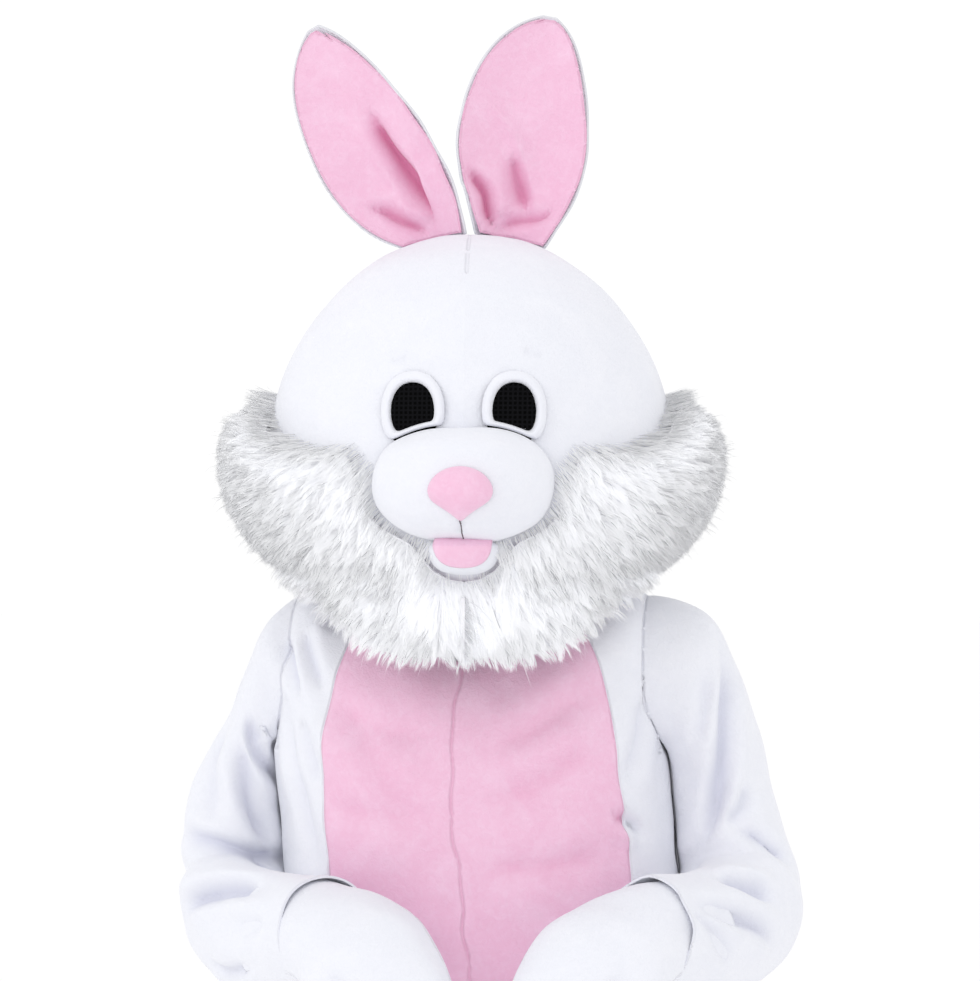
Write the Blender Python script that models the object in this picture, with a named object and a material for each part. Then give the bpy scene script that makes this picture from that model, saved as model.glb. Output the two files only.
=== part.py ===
"""Rabbit mascot costume: a plush jumpsuit with a two-part belly panel, a pair of mitts and a mascot head.

Metres, +Z up. The costume faces -Y, and the wearer's left is +X. Z = 0 is the height of the shoulders and the
origin is midway between them, where the wearer carries the suit. Every cloth piece is a wall on a named surface:
the suit's pieces are regions of one trunk surface, the sleeves and mitts are tubes, and the head's pieces lie on
the head's own surface.
"""

from math import asin, atan2, cos, exp, pi, radians, sin, sqrt

import bmesh
import bpy
from mathutils import Matrix, Vector
from mathutils.bvhtree import BVHTree

# Cloth and seams
PLUSH = 0.0022  # wall of the short-pile plush
BELLY_PLUSH = 0.0024
FOAM_WALL = 0.007  # plush laminated to foam, on the head
SEAM_HALF = 0.00015  # half of the space left between two sewn edges
SEAT = 0.0009  # space under a piece that lies on the rounded head

# Trunk surface: one ring a row, from the neckline down to the ankles
# Columns: z_front, z_side, z_back, half_width, front, back, centre_x, power
TRUNK = (
    (-0.072, 0.020, 0.012, 0.105, 0.112, 0.080, -0.014, 2.0),
    (-0.096, 0.012, -0.010, 0.150, 0.128, 0.104, -0.016, 2.1),
    (-0.124, -0.003, -0.040, 0.190, 0.137, 0.120, -0.018, 2.2),
    (-0.156, -0.040, -0.085, 0.207, 0.142, 0.130, -0.020, 2.3),
    (-0.200, -0.110, -0.140, 0.212, 0.146, 0.135, -0.021, 2.4),
    (-0.250, -0.190, -0.205, 0.213, 0.149, 0.136, -0.019, 2.4),
    (-0.310, -0.280, -0.285, 0.213, 0.151, 0.135, -0.010, 2.4),
    (-0.380, -0.370, -0.370, 0.214, 0.151, 0.134, -0.002, 2.4),
    (-0.455, -0.450, -0.450, 0.217, 0.149, 0.138, 0.000, 2.4),
    (-0.530, -0.530, -0.530, 0.221, 0.146, 0.145, 0.000, 2.4),
    (-0.610, -0.610, -0.610, 0.223, 0.144, 0.146, 0.000, 2.4),
    (-0.690, -0.690, -0.690, 0.221, 0.142, 0.142, 0.000, 2.4),
    (-0.820, -0.820, -0.820, 0.218, 0.138, 0.136, 0.000, 2.4),
    (-0.950, -0.950, -0.950, 0.214, 0.132, 0.130, 0.000, 2.4),
    (-1.100, -1.100, -1.100, 0.208, 0.125, 0.124, 0.000, 2.4),
    (-1.230, -1.230, -1.230, 0.202, 0.118, 0.118, 0.000, 2.4),
    (-1.350, -1.350, -1.350, 0.194, 0.106, 0.108, 0.000, 2.4),
)
CROTCH_ROW = 11
FORK_START = 9.2  # the trunk starts to part into two legs at this row
LEG_GAP = 0.0003  # from the middle to a leg's inseam at the crotch
LEG_SPREAD = 0.0045  # what a leg's inseam moves outwards in a row, below the crotch

# Belly panel: its half width on the wearer's right and left at a trunk row
# Columns: row, half_right, half_left
BELLY = (
    (0.0, 0.100, 0.101),
    (1.0, 0.117, 0.122),
    (2.0, 0.128, 0.143),
    (3.0, 0.137, 0.158),
    (4.0, 0.142, 0.168),
    (5.0, 0.144, 0.174),
    (6.0, 0.146, 0.177),
    (7.0, 0.146, 0.172),
    (7.8, 0.132, 0.150),
    (8.4, 0.103, 0.114),
    (8.8, 0.062, 0.068),
    (9.0, 0.000, 0.000),
)
BELLY_ROWS = (0.0, 0.6, 1.2, 1.8, 2.5, 3.2, 4.0, 4.8, 5.6, 6.4, 7.2, 7.8, 8.4, 8.8, 9.0)
BELLY_COUNT = 6
PANEL_COUNT = 8

# Armhole: a loop on the trunk surface
ARMHOLE_TOP_ROW = 2.05
ARMHOLE_LOW_ROW = 4.75
ARMHOLE_FORE = 0.27
ARMHOLE_COUNT = 20
HIP_ROWS = (5.6, 6.5, 7.3, 7.9, 8.45, 8.8)  # side seam rows from the armhole to the belly panel's tip
LEG_ROWS = (9.7, 10.3, 10.7, 11.0, 11.5, 12.3, 13.2, 14.2, 15.1, 16.0)
YOKE_STEPS = 4  # steps along the neckline, from the side to the back middle
SPINE_STEP = 0.85  # rows a step, down the back middle to the end of the armhole

# Sleeves: the outer and the inner point of each ring, and half of its depth across them
# Columns: out_x, out_y, out_z, in_x, in_y, in_z, half_depth
SLEEVE_RIGHT = (
    (0.226, 0.002, -0.014, 0.232, 0.002, -0.176, 0.071),
    (0.250, 0.004, -0.044, 0.234, 0.004, -0.188, 0.069),
    (0.271, 0.007, -0.088, 0.234, 0.006, -0.205, 0.067),
    (0.292, 0.010, -0.134, 0.234, 0.009, -0.226, 0.067),
    (0.316, 0.012, -0.182, 0.234, 0.010, -0.250, 0.068),
    (0.338, 0.012, -0.228, 0.234, 0.008, -0.275, 0.070),
    (0.349, 0.008, -0.272, 0.232, -0.004, -0.298, 0.071),
    (0.346, 0.000, -0.306, 0.228, -0.018, -0.316, 0.068),
    (0.338, -0.014, -0.332, 0.221, -0.034, -0.328, 0.064),
    (0.343, -0.036, -0.352, 0.213, -0.054, -0.340, 0.072),
    (0.332, -0.068, -0.366, 0.203, -0.070, -0.352, 0.076),
    (0.310, -0.104, -0.372, 0.186, -0.092, -0.358, 0.075),
    (0.282, -0.140, -0.372, 0.168, -0.112, -0.360, 0.071),
    (0.250, -0.176, -0.368, 0.144, -0.134, -0.357, 0.067),
    (0.218, -0.210, -0.362, 0.118, -0.156, -0.352, 0.064),
    (0.186, -0.244, -0.356, 0.092, -0.180, -0.344, 0.062),
)
SLEEVE_LEFT = (
    (0.234, 0.002, -0.010, 0.200, 0.002, -0.176, 0.071),
    (0.259, 0.004, -0.040, 0.200, 0.004, -0.190, 0.069),
    (0.279, 0.007, -0.086, 0.200, 0.006, -0.207, 0.067),
    (0.292, 0.010, -0.134, 0.201, 0.009, -0.228, 0.067),
    (0.304, 0.012, -0.182, 0.202, 0.010, -0.250, 0.068),
    (0.315, 0.012, -0.228, 0.204, 0.008, -0.272, 0.070),
    (0.326, 0.008, -0.270, 0.206, -0.004, -0.292, 0.071),
    (0.340, 0.000, -0.302, 0.207, -0.018, -0.306, 0.069),
    (0.349, -0.014, -0.328, 0.208, -0.034, -0.318, 0.068),
    (0.349, -0.036, -0.348, 0.208, -0.054, -0.330, 0.073),
    (0.341, -0.068, -0.360, 0.206, -0.074, -0.340, 0.076),
    (0.327, -0.104, -0.366, 0.198, -0.096, -0.346, 0.075),
    (0.307, -0.140, -0.366, 0.186, -0.118, -0.348, 0.071),
    (0.284, -0.176, -0.362, 0.172, -0.142, -0.347, 0.067),
    (0.262, -0.210, -0.356, 0.156, -0.167, -0.344, 0.064),
    (0.240, -0.244, -0.350, 0.140, -0.192, -0.338, 0.062),
)
# Deep folds of a sleeve: the ring, the place round it in degrees, how far it runs each way, and its depth
# Columns: ring, round, rings_wide, degrees_wide, depth
SLEEVE_FOLDS = (
    (7.4, 150.0, 0.8, 60.0, 0.016),
    (8.2, 20.0, 0.8, 75.0, 0.011),
    (9.2, 255.0, 0.9, 50.0, -0.006),
    (10.4, 275.0, 0.9, 45.0, 0.010),
    (12.2, 250.0, 0.8, 60.0, 0.008),
    (4.2, 140.0, 1.0, 40.0, 0.007),
)
FOLD_FALL = 1.4
TRUNK_CLEARANCE = 0.004
BLEND_RINGS = 4  # rings over which the sleeve turns from the armhole's outline to its own
CAP_LIFT = 2.5  # half seams between the sleeve's head and the trunk, off the trunk

# Mitts: centre line, half width across the knuckles and half thickness
# Columns: x, y, z, half_width, half_thick
MITT_RIGHT = (
    (0.1200, -0.2300, -0.3520, 0.0610, 0.0500),
    (0.1060, -0.2520, -0.3580, 0.0680, 0.0500),
    (0.0880, -0.2690, -0.3760, 0.0770, 0.0480),
    (0.0710, -0.2770, -0.4100, 0.0800, 0.0450),
    (0.0600, -0.2770, -0.4500, 0.0750, 0.0410),
    (0.0550, -0.2730, -0.4840, 0.0620, 0.0360),
    (0.0530, -0.2690, -0.5080, 0.0430, 0.0280),
    (0.0525, -0.2670, -0.5200, 0.0240, 0.0170),
    (0.0523, -0.2660, -0.5240, 0.0000, 0.0000),
)
MITT_LEFT_SHIFT = 0.060  # the wearer's left hand is this much further from the middle
MITT_COUNT = 8  # steps over one side
MITT_TUCK = 3  # sleeve rings that the mitt's cuff reaches up inside
MITT_TURN_RINGS = 3.5  # rings over which the mitt turns down from the forearm
CUFF_GAP = 0.0006
KNUCKLE_LINE = (-0.85, 0.0, 0.53)  # from the little finger's side to the thumb's, at +X for the left hand
TIP_RING = -3  # the last ring that is wide enough to aim the finger tips by

# Head: its rings in its own axes, which turn about the vertical by HEAD_TURN
HEAD_CENTRE = (-0.016, -0.030)
HEAD_TURN = 6.0
# Columns: z, half_width, front, back
HEAD = (
    (0.3890, 0.000, 0.000, 0.000),
    (0.3850, 0.046, 0.045, 0.047),
    (0.3660, 0.098, 0.096, 0.099),
    (0.3400, 0.133, 0.130, 0.134),
    (0.3080, 0.165, 0.161, 0.165),
    (0.2680, 0.192, 0.186, 0.190),
    (0.2200, 0.214, 0.203, 0.208),
    (0.1700, 0.224, 0.209, 0.216),
    (0.1250, 0.221, 0.211, 0.213),
    (0.0850, 0.207, 0.210, 0.202),
    (0.0500, 0.183, 0.204, 0.184),
    (0.0280, 0.162, 0.193, 0.168),
    (0.0160, 0.146, 0.182, 0.154),
)
HEAD_POWER = 2.15
HEAD_STEPS = 12

# Face: places across (a) and up (z) on the head's surface
EYE_ACROSS = 0.052
EYE_Z = 0.190
EYE_HALF_WIDTH = 0.0225
EYE_HALF_HEIGHT = 0.030
PATCH_HALF_WIDTH = 0.034
PATCH_HALF_HEIGHT = 0.043
PATCH_PROUD = 0.0065
PATCH_EDGE = 0.001
EYE_CLEARANCE = 0.0070  # from the muzzle's upper edge to the eye opening
PATCH_CLEARANCE = 0.0012
CUT_AHEAD = (0.130, 0.260)  # the eye opening is cut between these places, straight ahead
MESH_BORDER = 0.007
MESH_WALL = 0.0012
MESH_DEPTH = 0.0030  # behind the foam's inner side
FOAM_AHEAD = 1.12  # the foam's depth straight ahead, as a share of its wall
MUZZLE_Z = 0.115
MUZZLE_HALF_WIDTH = 0.094
MUZZLE_HALF_HEIGHT = 0.060
MUZZLE_PROUD = 0.070
MUZZLE_POWER = 2.35
MUZZLE_EDGE = 0.005
NOSE_Z = 0.106
NOSE_HALF_WIDTH = 0.034
NOSE_HALF_HEIGHT = 0.028
NOSE_PROUD = 0.016
NOSE_EDGE = 0.003
NOSE_FOOT = 0.24  # the nose's width at its lower tip, as a share
JAW_TOP_Z = 0.0540
JAW_LOW_Z = 0.0220
JAW_HALF_WIDTH = 0.037
JAW_PROUD = 0.034
JAW_SHOULDER = 0.010  # from the jaw's upper edge down to its widest place
JAW_POWER = 2.5
JAW_EDGE = 0.010  # thickness at the jaw's edge
TONGUE_BORDER = 0.008
TONGUE_WALL = 0.003
TONGUE_SEAT = 0.0018

# Ears: base and tip in the head's axes (across, forward, up), widths, cup and lean
# Columns: along, reach_right, reach_left, cup
EAR_RIGHT = (
    (0.00, 0.030, 0.050, 0.024),
    (0.07, 0.041, 0.053, 0.026),
    (0.15, 0.056, 0.056, 0.027),
    (0.27, 0.068, 0.058, 0.026),
    (0.38, 0.0725, 0.058, 0.024),
    (0.48, 0.073, 0.055, 0.021),
    (0.60, 0.070, 0.050, 0.017),
    (0.72, 0.064, 0.042, 0.013),
    (0.82, 0.0545, 0.033, 0.009),
    (0.90, 0.041, 0.023, 0.006),
    (0.96, 0.024, 0.013, 0.003),
    (1.00, 0.008, 0.005, 0.001),
)
EAR_LEFT = (
    (0.00, 0.041, 0.034, 0.024),
    (0.07, 0.051, 0.045, 0.026),
    (0.15, 0.059, 0.053, 0.027),
    (0.27, 0.072, 0.062, 0.026),
    (0.38, 0.079, 0.0645, 0.024),
    (0.48, 0.0795, 0.0635, 0.021),
    (0.60, 0.077, 0.057, 0.017),
    (0.71, 0.071, 0.050, 0.013),
    (0.81, 0.061, 0.041, 0.009),
    (0.90, 0.045, 0.031, 0.006),
    (0.96, 0.028, 0.020, 0.003),
    (1.00, 0.009, 0.007, 0.001),
)
EAR_RIGHT_BASE = (-0.050, 0.004)
EAR_RIGHT_TIP = (-0.171, 0.010, 0.612)
EAR_LEFT_BASE = (0.046, 0.004)
EAR_LEFT_TIP = (0.086, 0.010, 0.622)
EAR_TURN_RIGHT = -14.0
EAR_TURN_LEFT = 6.0
EAR_WALL = 0.002
EAR_RIM = 0.003  # white back that shows past the pink front
EAR_LOFT = 0.009  # wadding between front and back
EAR_STEPS = 8
EAR_LEAST = 0.002  # half width left at the tip of the pink front
EAR_RIM_ALONG = 4.0  # how much shorter the front is than the back, in ears for each metre of rim
EAR_SWELL = 4  # the wadding thins out over the last quarter of the ear
EAR_SEAT = 0.0012  # space over the crown, whose sides are flat facets
EAR_SPACE = 0.0008  # from the back's wall to the front's

# Fur ruff: rings from its upper edge to its lower edge
RUFF_BEARINGS = (0, 4, 8, 11, 14, 18, 22, 26, 29, 34, 42, 52, 64, 78, 92, 108, 126, 144, 162, 180)
# Columns: down, fur_front, fur_side, fur_back
RUFF = (
    (0.00, 0.004, 0.010, 0.008),
    (0.07, 0.014, 0.034, 0.026),
    (0.18, 0.023, 0.048, 0.040),
    (0.30, 0.030, 0.052, 0.046),
    (0.42, 0.034, 0.054, 0.048),
    (0.55, 0.036, 0.055, 0.048),
    (0.68, 0.036, 0.054, 0.047),
    (0.80, 0.034, 0.050, 0.044),
    (0.91, 0.029, 0.042, 0.037),
    (1.00, 0.018, 0.028, 0.026),
)
RUFF_SEAT = 0.0047  # from the head's curve to the fur's backing
FACE_RADIUS = 0.200
FACE_MARGIN = 0.004  # beside the jaw
FACE_DROP = 0.006  # below the muzzle and the jaw
# Columns: bearing, share
RUFF_FULL = ((0, 0.95), (14, 0.85), (24, 0.50), (29, 0.30), (36, 0.50), (46, 0.85), (56, 1.0), (180, 1.0))
RUFF_CLEARANCE = 0.0032  # to the suit's shoulders, whose curve stands between the ruff's points
# Columns: bearing, z
RUFF_TOP = (
    (29, 0.148),
    (42, 0.146),
    (64, 0.164),
    (78, 0.196),
    (92, 0.206),
    (126, 0.196),
    (180, 0.190),
)
# Columns: bearing, z, radius
RUFF_LOW = (
    (0, -0.066, 0.192),
    (18, -0.064, 0.192),
    (34, -0.050, 0.188),
    (52, -0.018, 0.178),
    (70, 0.010, 0.164),
    (90, 0.016, 0.156),
    (120, 0.010, 0.158),
    (150, 0.002, 0.162),
    (180, -0.002, 0.164),
)

WHITE = (0.90, 0.90, 0.93)
FUR_WHITE = (0.93, 0.93, 0.95)
PINK = (0.90, 0.48, 0.60)
BLACK = (0.012, 0.012, 0.014)

SIDES = {"right": -1, "left": 1}


def clear_scene():
    for obj in list(bpy.data.objects):
        bpy.data.objects.remove(obj, do_unlink=True)


def material(name, colour, roughness):
    made = bpy.data.materials.new(name)
    made.use_nodes = True
    shader = made.node_tree.nodes["Principled BSDF"]
    shader.inputs["Base Color"].default_value = (*colour, 1.0)
    shader.inputs["Roughness"].default_value = roughness
    shader.inputs["Metallic"].default_value = 0.0
    made.diffuse_color = (*colour, 1.0)
    return made


def smooth_row(table, place):
    """A table's row at a fractional place, on a smooth curve through its rows."""
    last = len(table) - 1
    place = min(max(place, 0.0), last)
    start = min(int(place), last - 1)
    part = place - start
    rows = [table[min(max(start + step, 0), last)] for step in (-1, 0, 1, 2)]
    values = []
    for before, here, after, beyond in zip(*rows):
        bend = 2 * before - 5 * here + 4 * after - beyond
        turn = -before + 3 * here - 3 * after + beyond
        values.append(here + 0.5 * part * (after - before + part * (bend + part * turn)))
    return values


def between(table, key):
    """A table's other columns at a value of its first column, by straight lines."""
    if key <= table[0][0]:
        return table[0][1:]
    for low, high in zip(table, table[1:]):
        if key <= high[0]:
            part = (key - low[0]) / (high[0] - low[0])
            return tuple(a + part * (b - a) for a, b in zip(low[1:], high[1:]))
    return table[-1][1:]


def ease(part):
    part = min(max(part, 0.0), 1.0)
    return part * part * (3 - 2 * part)


def signed_power(value, power):
    return abs(value) ** power * (1 if value >= 0 else -1)


# Solids


def build_solid(name, outer, inner, wrap, finish):
    """One closed wall between two grids of points, whose rows are closed rings where wrap is set."""
    mesh = bmesh.new()
    skins = []
    for grid in (outer, inner):
        skins.append([[mesh.verts.new(point) for point in row] for row in grid])
    rows = len(outer)
    columns = len(outer[0])
    steps = columns if wrap else columns - 1
    for skin, turned in zip(skins, (False, True)):
        for row in range(rows - 1):
            for step in range(steps):
                after = (step + 1) % columns
                corners = [skin[row][step], skin[row][after], skin[row + 1][after], skin[row + 1][step]]
                mesh.faces.new(corners[::-1] if turned else corners)
    edges = [(skins[0][row], skins[1][row], steps) for row in (0, rows - 1)]
    if not wrap:
        for column in (0, columns - 1):
            edges.append(([row[column] for row in skins[0]], [row[column] for row in skins[1]], rows - 1))
    for out_edge, in_edge, count in edges:
        for step in range(count):
            after = (step + 1) % len(out_edge)
            mesh.faces.new([out_edge[step], in_edge[step], in_edge[after], out_edge[after]])
    return finish_mesh(name, mesh, finish)


def finish_mesh(name, mesh, finish):
    bmesh.ops.remove_doubles(mesh, verts=mesh.verts, dist=1e-6)
    bmesh.ops.dissolve_degenerate(mesh, edges=mesh.edges, dist=1e-6)
    bmesh.ops.triangulate(mesh, faces=mesh.faces)
    bmesh.ops.recalc_face_normals(mesh, faces=mesh.faces)
    if mesh.calc_volume(signed=True) < 0:
        bmesh.ops.reverse_faces(mesh, faces=mesh.faces)
    data = bpy.data.meshes.new(name)
    mesh.to_mesh(data)
    mesh.free()
    data.materials.append(finish)
    data.shade_smooth()
    data.set_sharp_from_angle(angle=radians(50))
    obj = bpy.data.objects.new(name, data)
    bpy.context.collection.objects.link(obj)
    return obj


def part_edges(grid, sides):
    """The grid with its named edges moved in by half of the seam's space, along the cloth."""
    rows = len(grid)
    columns = len(grid[0])
    moved = [[point.copy() for point in row] for row in grid]

    def pull(row, column, toward, before, after):
        inwards = grid[toward[0]][toward[1]] - grid[row][column]
        along = grid[after[0]][after[1]] - grid[before[0]][before[1]]
        if along.length > 1e-7:
            along.normalize()
            inwards -= along * inwards.dot(along)
        if inwards.length > 1e-7:
            moved[row][column] += inwards.normalized() * SEAM_HALF

    for column in range(columns):
        ends = (max(column - 1, 0), min(column + 1, columns - 1))
        if "start" in sides:
            pull(0, column, (1, column), (0, ends[0]), (0, ends[1]))
        if "end" in sides:
            pull(rows - 1, column, (rows - 2, column), (rows - 1, ends[0]), (rows - 1, ends[1]))
    for row in range(rows):
        ends = (max(row - 1, 0), min(row + 1, rows - 1))
        if "first" in sides:
            pull(row, 0, (row, 1), (ends[0], 0), (ends[1], 0))
        if "last" in sides:
            pull(row, columns - 1, (row, columns - 2), (ends[0], columns - 1), (ends[1], columns - 1))
    return moved


# Trunk


def trunk_point(side, turn, row):
    """A point of the suit's surface: turn is 0 at the front middle, 1 at the side seam and 2 at the back middle."""
    z_front, z_side, z_back, half_width, front, back, centre_x, power = smooth_row(TRUNK, row)
    angle = turn * pi / 2
    across = signed_power(sin(angle), 2 / power)
    ahead = signed_power(cos(angle), 2 / power)
    z_end = z_front if turn <= 1 else z_back
    depth = front if turn <= 1 else back
    z = z_side + (z_end - z_side) * cos(angle) ** 2
    trunk = Vector((centre_x + side * half_width * across, -depth * ahead, z))
    fork = ease((row - FORK_START) / (CROTCH_ROW - FORK_START))
    if fork == 0:
        return trunk
    inseam = LEG_GAP + LEG_SPREAD * max(row - CROTCH_ROW, 0)
    half_leg = (half_width - inseam) / 2
    around = turn * pi
    leg_depth = front if turn <= 1 else back
    leg_x = inseam + half_leg * (1 - cos(around))
    leg = Vector((centre_x + side * leg_x, -leg_depth * sin(around), z))
    return trunk.lerp(leg, fork)


def trunk_normal(side, turn, row):
    step = 0.01
    before = max(turn - step, 0.0)
    after = min(turn + step, 2.0)
    above = max(row - step, 0.0)
    below = min(row + step, len(TRUNK) - 1.0)
    round_it = trunk_point(side, after, row) - trunk_point(side, before, row)
    down = trunk_point(side, turn, below) - trunk_point(side, turn, above)
    return (down.cross(round_it) * side).normalized()


def turn_at(row, half):
    """The turn at which the trunk is this far across from its middle."""
    values = smooth_row(TRUNK, row)
    share = min(max(half / values[3], 0.0), 1.0)
    return asin(share ** (values[7] / 2)) * 2 / pi


def belly_turn(side, row):
    half_right, half_left = between(BELLY, row)
    return turn_at(row, half_right if side < 0 else half_left)


def armhole_place(index):
    """(turn, row) of a point of the armhole, from the shoulder round by the front."""
    angle = 2 * pi * index / ARMHOLE_COUNT
    middle = (ARMHOLE_TOP_ROW + ARMHOLE_LOW_ROW) / 2
    reach = (ARMHOLE_LOW_ROW - ARMHOLE_TOP_ROW) / 2
    return 1 - ARMHOLE_FORE * sin(angle), middle - reach * cos(angle)


def armhole_loop(side):
    return [trunk_point(side, *armhole_place(index)) for index in range(ARMHOLE_COUNT)]


def trunk_panel(name, side, inner_path, outer_path, count, wall, seams, finish, mitres):
    """A panel whose rows run from one path to the other over the trunk's surface."""
    grid = []
    normals = []
    for row, (start, end) in enumerate(zip(inner_path, outer_path)):
        points = []
        row_normals = []
        for column in range(count + 1):
            share = column / count
            turn = start[0] + (end[0] - start[0]) * share
            place = start[1] + (end[1] - start[1]) * share
            points.append(trunk_point(side, turn, place))
            row_normals.append(trunk_normal(side, turn, place))
        if mitres and row in mitres:
            row_normals[-1] = mitres[row]
        grid.append(points)
        normals.append(row_normals)
    grid = part_edges(grid, seams)
    inside = []
    for points, row_normals in zip(grid, normals):
        inside.append([point - normal * wall for point, normal in zip(points, row_normals)])
    for path_row, start in enumerate(inner_path):
        if start[0] in (0.0, 2.0):
            middle = smooth_row(TRUNK, start[1])[6]
            for row_points in (grid[path_row], inside[path_row]):
                for point in row_points:
                    point.x = middle + side * max(side * (point.x - middle), SEAM_HALF)
    return build_solid(name, grid, inside, False, finish)


def make_trunk(side_name, white, pink, mitres):
    side = SIDES[side_name]
    border = [(belly_turn(side, row), row) for row in BELLY_ROWS]
    middle = [(0.0, row) for row in BELLY_ROWS]
    trunk_panel(
        f"belly_{side_name}", side, middle, border, BELLY_COUNT, BELLY_PLUSH, ("first", "last"), pink, None
    )
    corner = border[0][0]
    half = ARMHOLE_COUNT // 2
    side_seam = [(1.0, row) for row in HIP_ROWS + LEG_ROWS]
    front_in = [(1.0, 0.0), ((1 + corner) / 2, 0.0)] + border + [(0.0, row) for row in LEG_ROWS]
    front_out = [armhole_place(index) for index in range(half + 1)] + side_seam
    fore = {index: mitres[index] for index in range(half + 1)}
    trunk_panel(
        f"front_{side_name}", side, front_in, front_out, PANEL_COUNT, PLUSH,
        ("start", "first", "last"), white, fore,
    )
    yoke = [(1.0 + step / YOKE_STEPS, 0.0) for step in range(YOKE_STEPS + 1)]
    spine = [(2.0, SPINE_STEP * (step + 1)) for step in range(half - YOKE_STEPS)]
    back_in = yoke + spine + [(2.0, row) for _, row in side_seam]
    back_out = [armhole_place(-index) for index in range(half + 1)] + side_seam
    aft = {index: mitres[-index % ARMHOLE_COUNT] for index in range(half + 1)}
    trunk_panel(
        f"back_{side_name}", side, back_in, back_out, PANEL_COUNT, PLUSH,
        ("start", "first", "last"), white, aft,
    )


def trunk_tree():
    """The whole trunk's surface, which the sleeves and mitts are kept clear of."""
    points = []
    faces = []
    turns = [step / 8 for step in range(17)]
    rows = [step / 2 for step in range(2 * (len(TRUNK) - 1) + 1)]
    for side in (-1, 1):
        start = len(points)
        for row in rows:
            points.extend(trunk_point(side, turn, row) for turn in turns)
        for row in range(len(rows) - 1):
            for step in range(len(turns) - 1):
                corner = start + row * len(turns) + step
                face = [corner, corner + len(turns), corner + len(turns) + 1, corner + 1]
                faces.append(face if side > 0 else face[::-1])
    return BVHTree.FromPolygons(points, faces)


def keep_clear(tree, point, clearance):
    nearest, normal, _, _ = tree.find_nearest(point)
    away = (point - nearest).dot(normal)
    if away < clearance:
        return point + normal * (clearance - away)
    return point


# Sleeves and mitts


def tube_normals(grid):
    """The outward direction at each point of a tube of rings."""
    normals = []
    rows = len(grid)
    for row, ring in enumerate(grid):
        centre = sum(ring, Vector()) / len(ring)
        line = []
        for index, point in enumerate(ring):
            along = grid[min(row + 1, rows - 1)][index] - grid[max(row - 1, 0)][index]
            around = ring[(index + 1) % len(ring)] - ring[index - 1]
            normal = along.cross(around).normalized()
            if normal.dot(point - centre) < 0:
                normal = -normal
            line.append(normal)
        normals.append(line)
    return normals


def fold_depth(ring, degrees):
    total = 0.0
    for fold_ring, place, rings_wide, degrees_wide, depth in SLEEVE_FOLDS:
        turned = (degrees - place + 180) % 360 - 180
        fall = ((ring - fold_ring) / rings_wide) ** 2 + (turned / degrees_wide) ** 2
        total += depth * exp(-FOLD_FALL * fall)
    return total


def sleeve_grid(side, tree):
    table = SLEEVE_RIGHT if side < 0 else SLEEVE_LEFT
    loop = armhole_loop(side)
    outs = [Vector((side * row[0], row[1], row[2])) for row in table]
    ins = [Vector((side * row[3], row[4], row[5])) for row in table]
    centres = [(out + inside) / 2 for out, inside in zip(outs, ins)]
    loop_centre = sum(loop, Vector()) / ARMHOLE_COUNT
    grid = [[point.copy() for point in loop]]
    for ring, row in enumerate(table):
        before = centres[ring - 1] if ring else loop_centre
        after = centres[min(ring + 1, len(centres) - 1)]
        axis = (after - before).normalized()
        across = (outs[ring] - ins[ring]) / 2
        fore = (axis.cross(across) * side).normalized()
        points = []
        for index in range(ARMHOLE_COUNT):
            angle = 2 * pi * index / ARMHOLE_COUNT
            round_point = centres[ring] + across * cos(angle) + fore * row[6] * sin(angle)
            inwards = (centres[ring] - round_point).normalized()
            round_point += inwards * fold_depth(ring, 360 * index / ARMHOLE_COUNT)
            if ring < BLEND_RINGS:
                share = ease((ring + 1) / (BLEND_RINGS + 1))
                height = (loop[index] - loop_centre).dot(across.normalized()) / (loop[0] - loop_centre).length
                oval = centres[ring] + across * height
                oval += fore * (loop[index] - loop_centre).dot(Vector((0, -1, 0)))
                round_point = oval.lerp(round_point, share)
            clearance = TRUNK_CLEARANCE * min(1.0, (ring + 1) / 3)
            points.append(keep_clear(tree, round_point, clearance))
        grid.append(points)
    return grid


def armhole_mitres(side, grid):
    """The direction halfway between the trunk's and the sleeve's at each point of the armhole."""
    sleeve = tube_normals(grid)[0]
    found = []
    for index in range(ARMHOLE_COUNT):
        found.append((trunk_normal(side, *armhole_place(index)) + sleeve[index]).normalized())
    return found


def make_sleeve(side_name, grid, mitres, finish):
    side = SIDES[side_name]
    normals = tube_normals(grid)
    moved = [[point.copy() for point in ring] for ring in grid]
    for index, point in enumerate(grid[0]):
        onwards = (grid[1][index] - point).normalized()
        trunk_out = trunk_normal(side, *armhole_place(index))
        moved[0][index] = point + onwards * SEAM_HALF + trunk_out * SEAM_HALF * CAP_LIFT
    normals[0] = mitres
    inside = [[p - n * PLUSH for p, n in zip(ring, line)] for ring, line in zip(moved, normals)]
    build_solid(f"sleeve_{side_name}", moved, inside, True, finish)
    return inside


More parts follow.
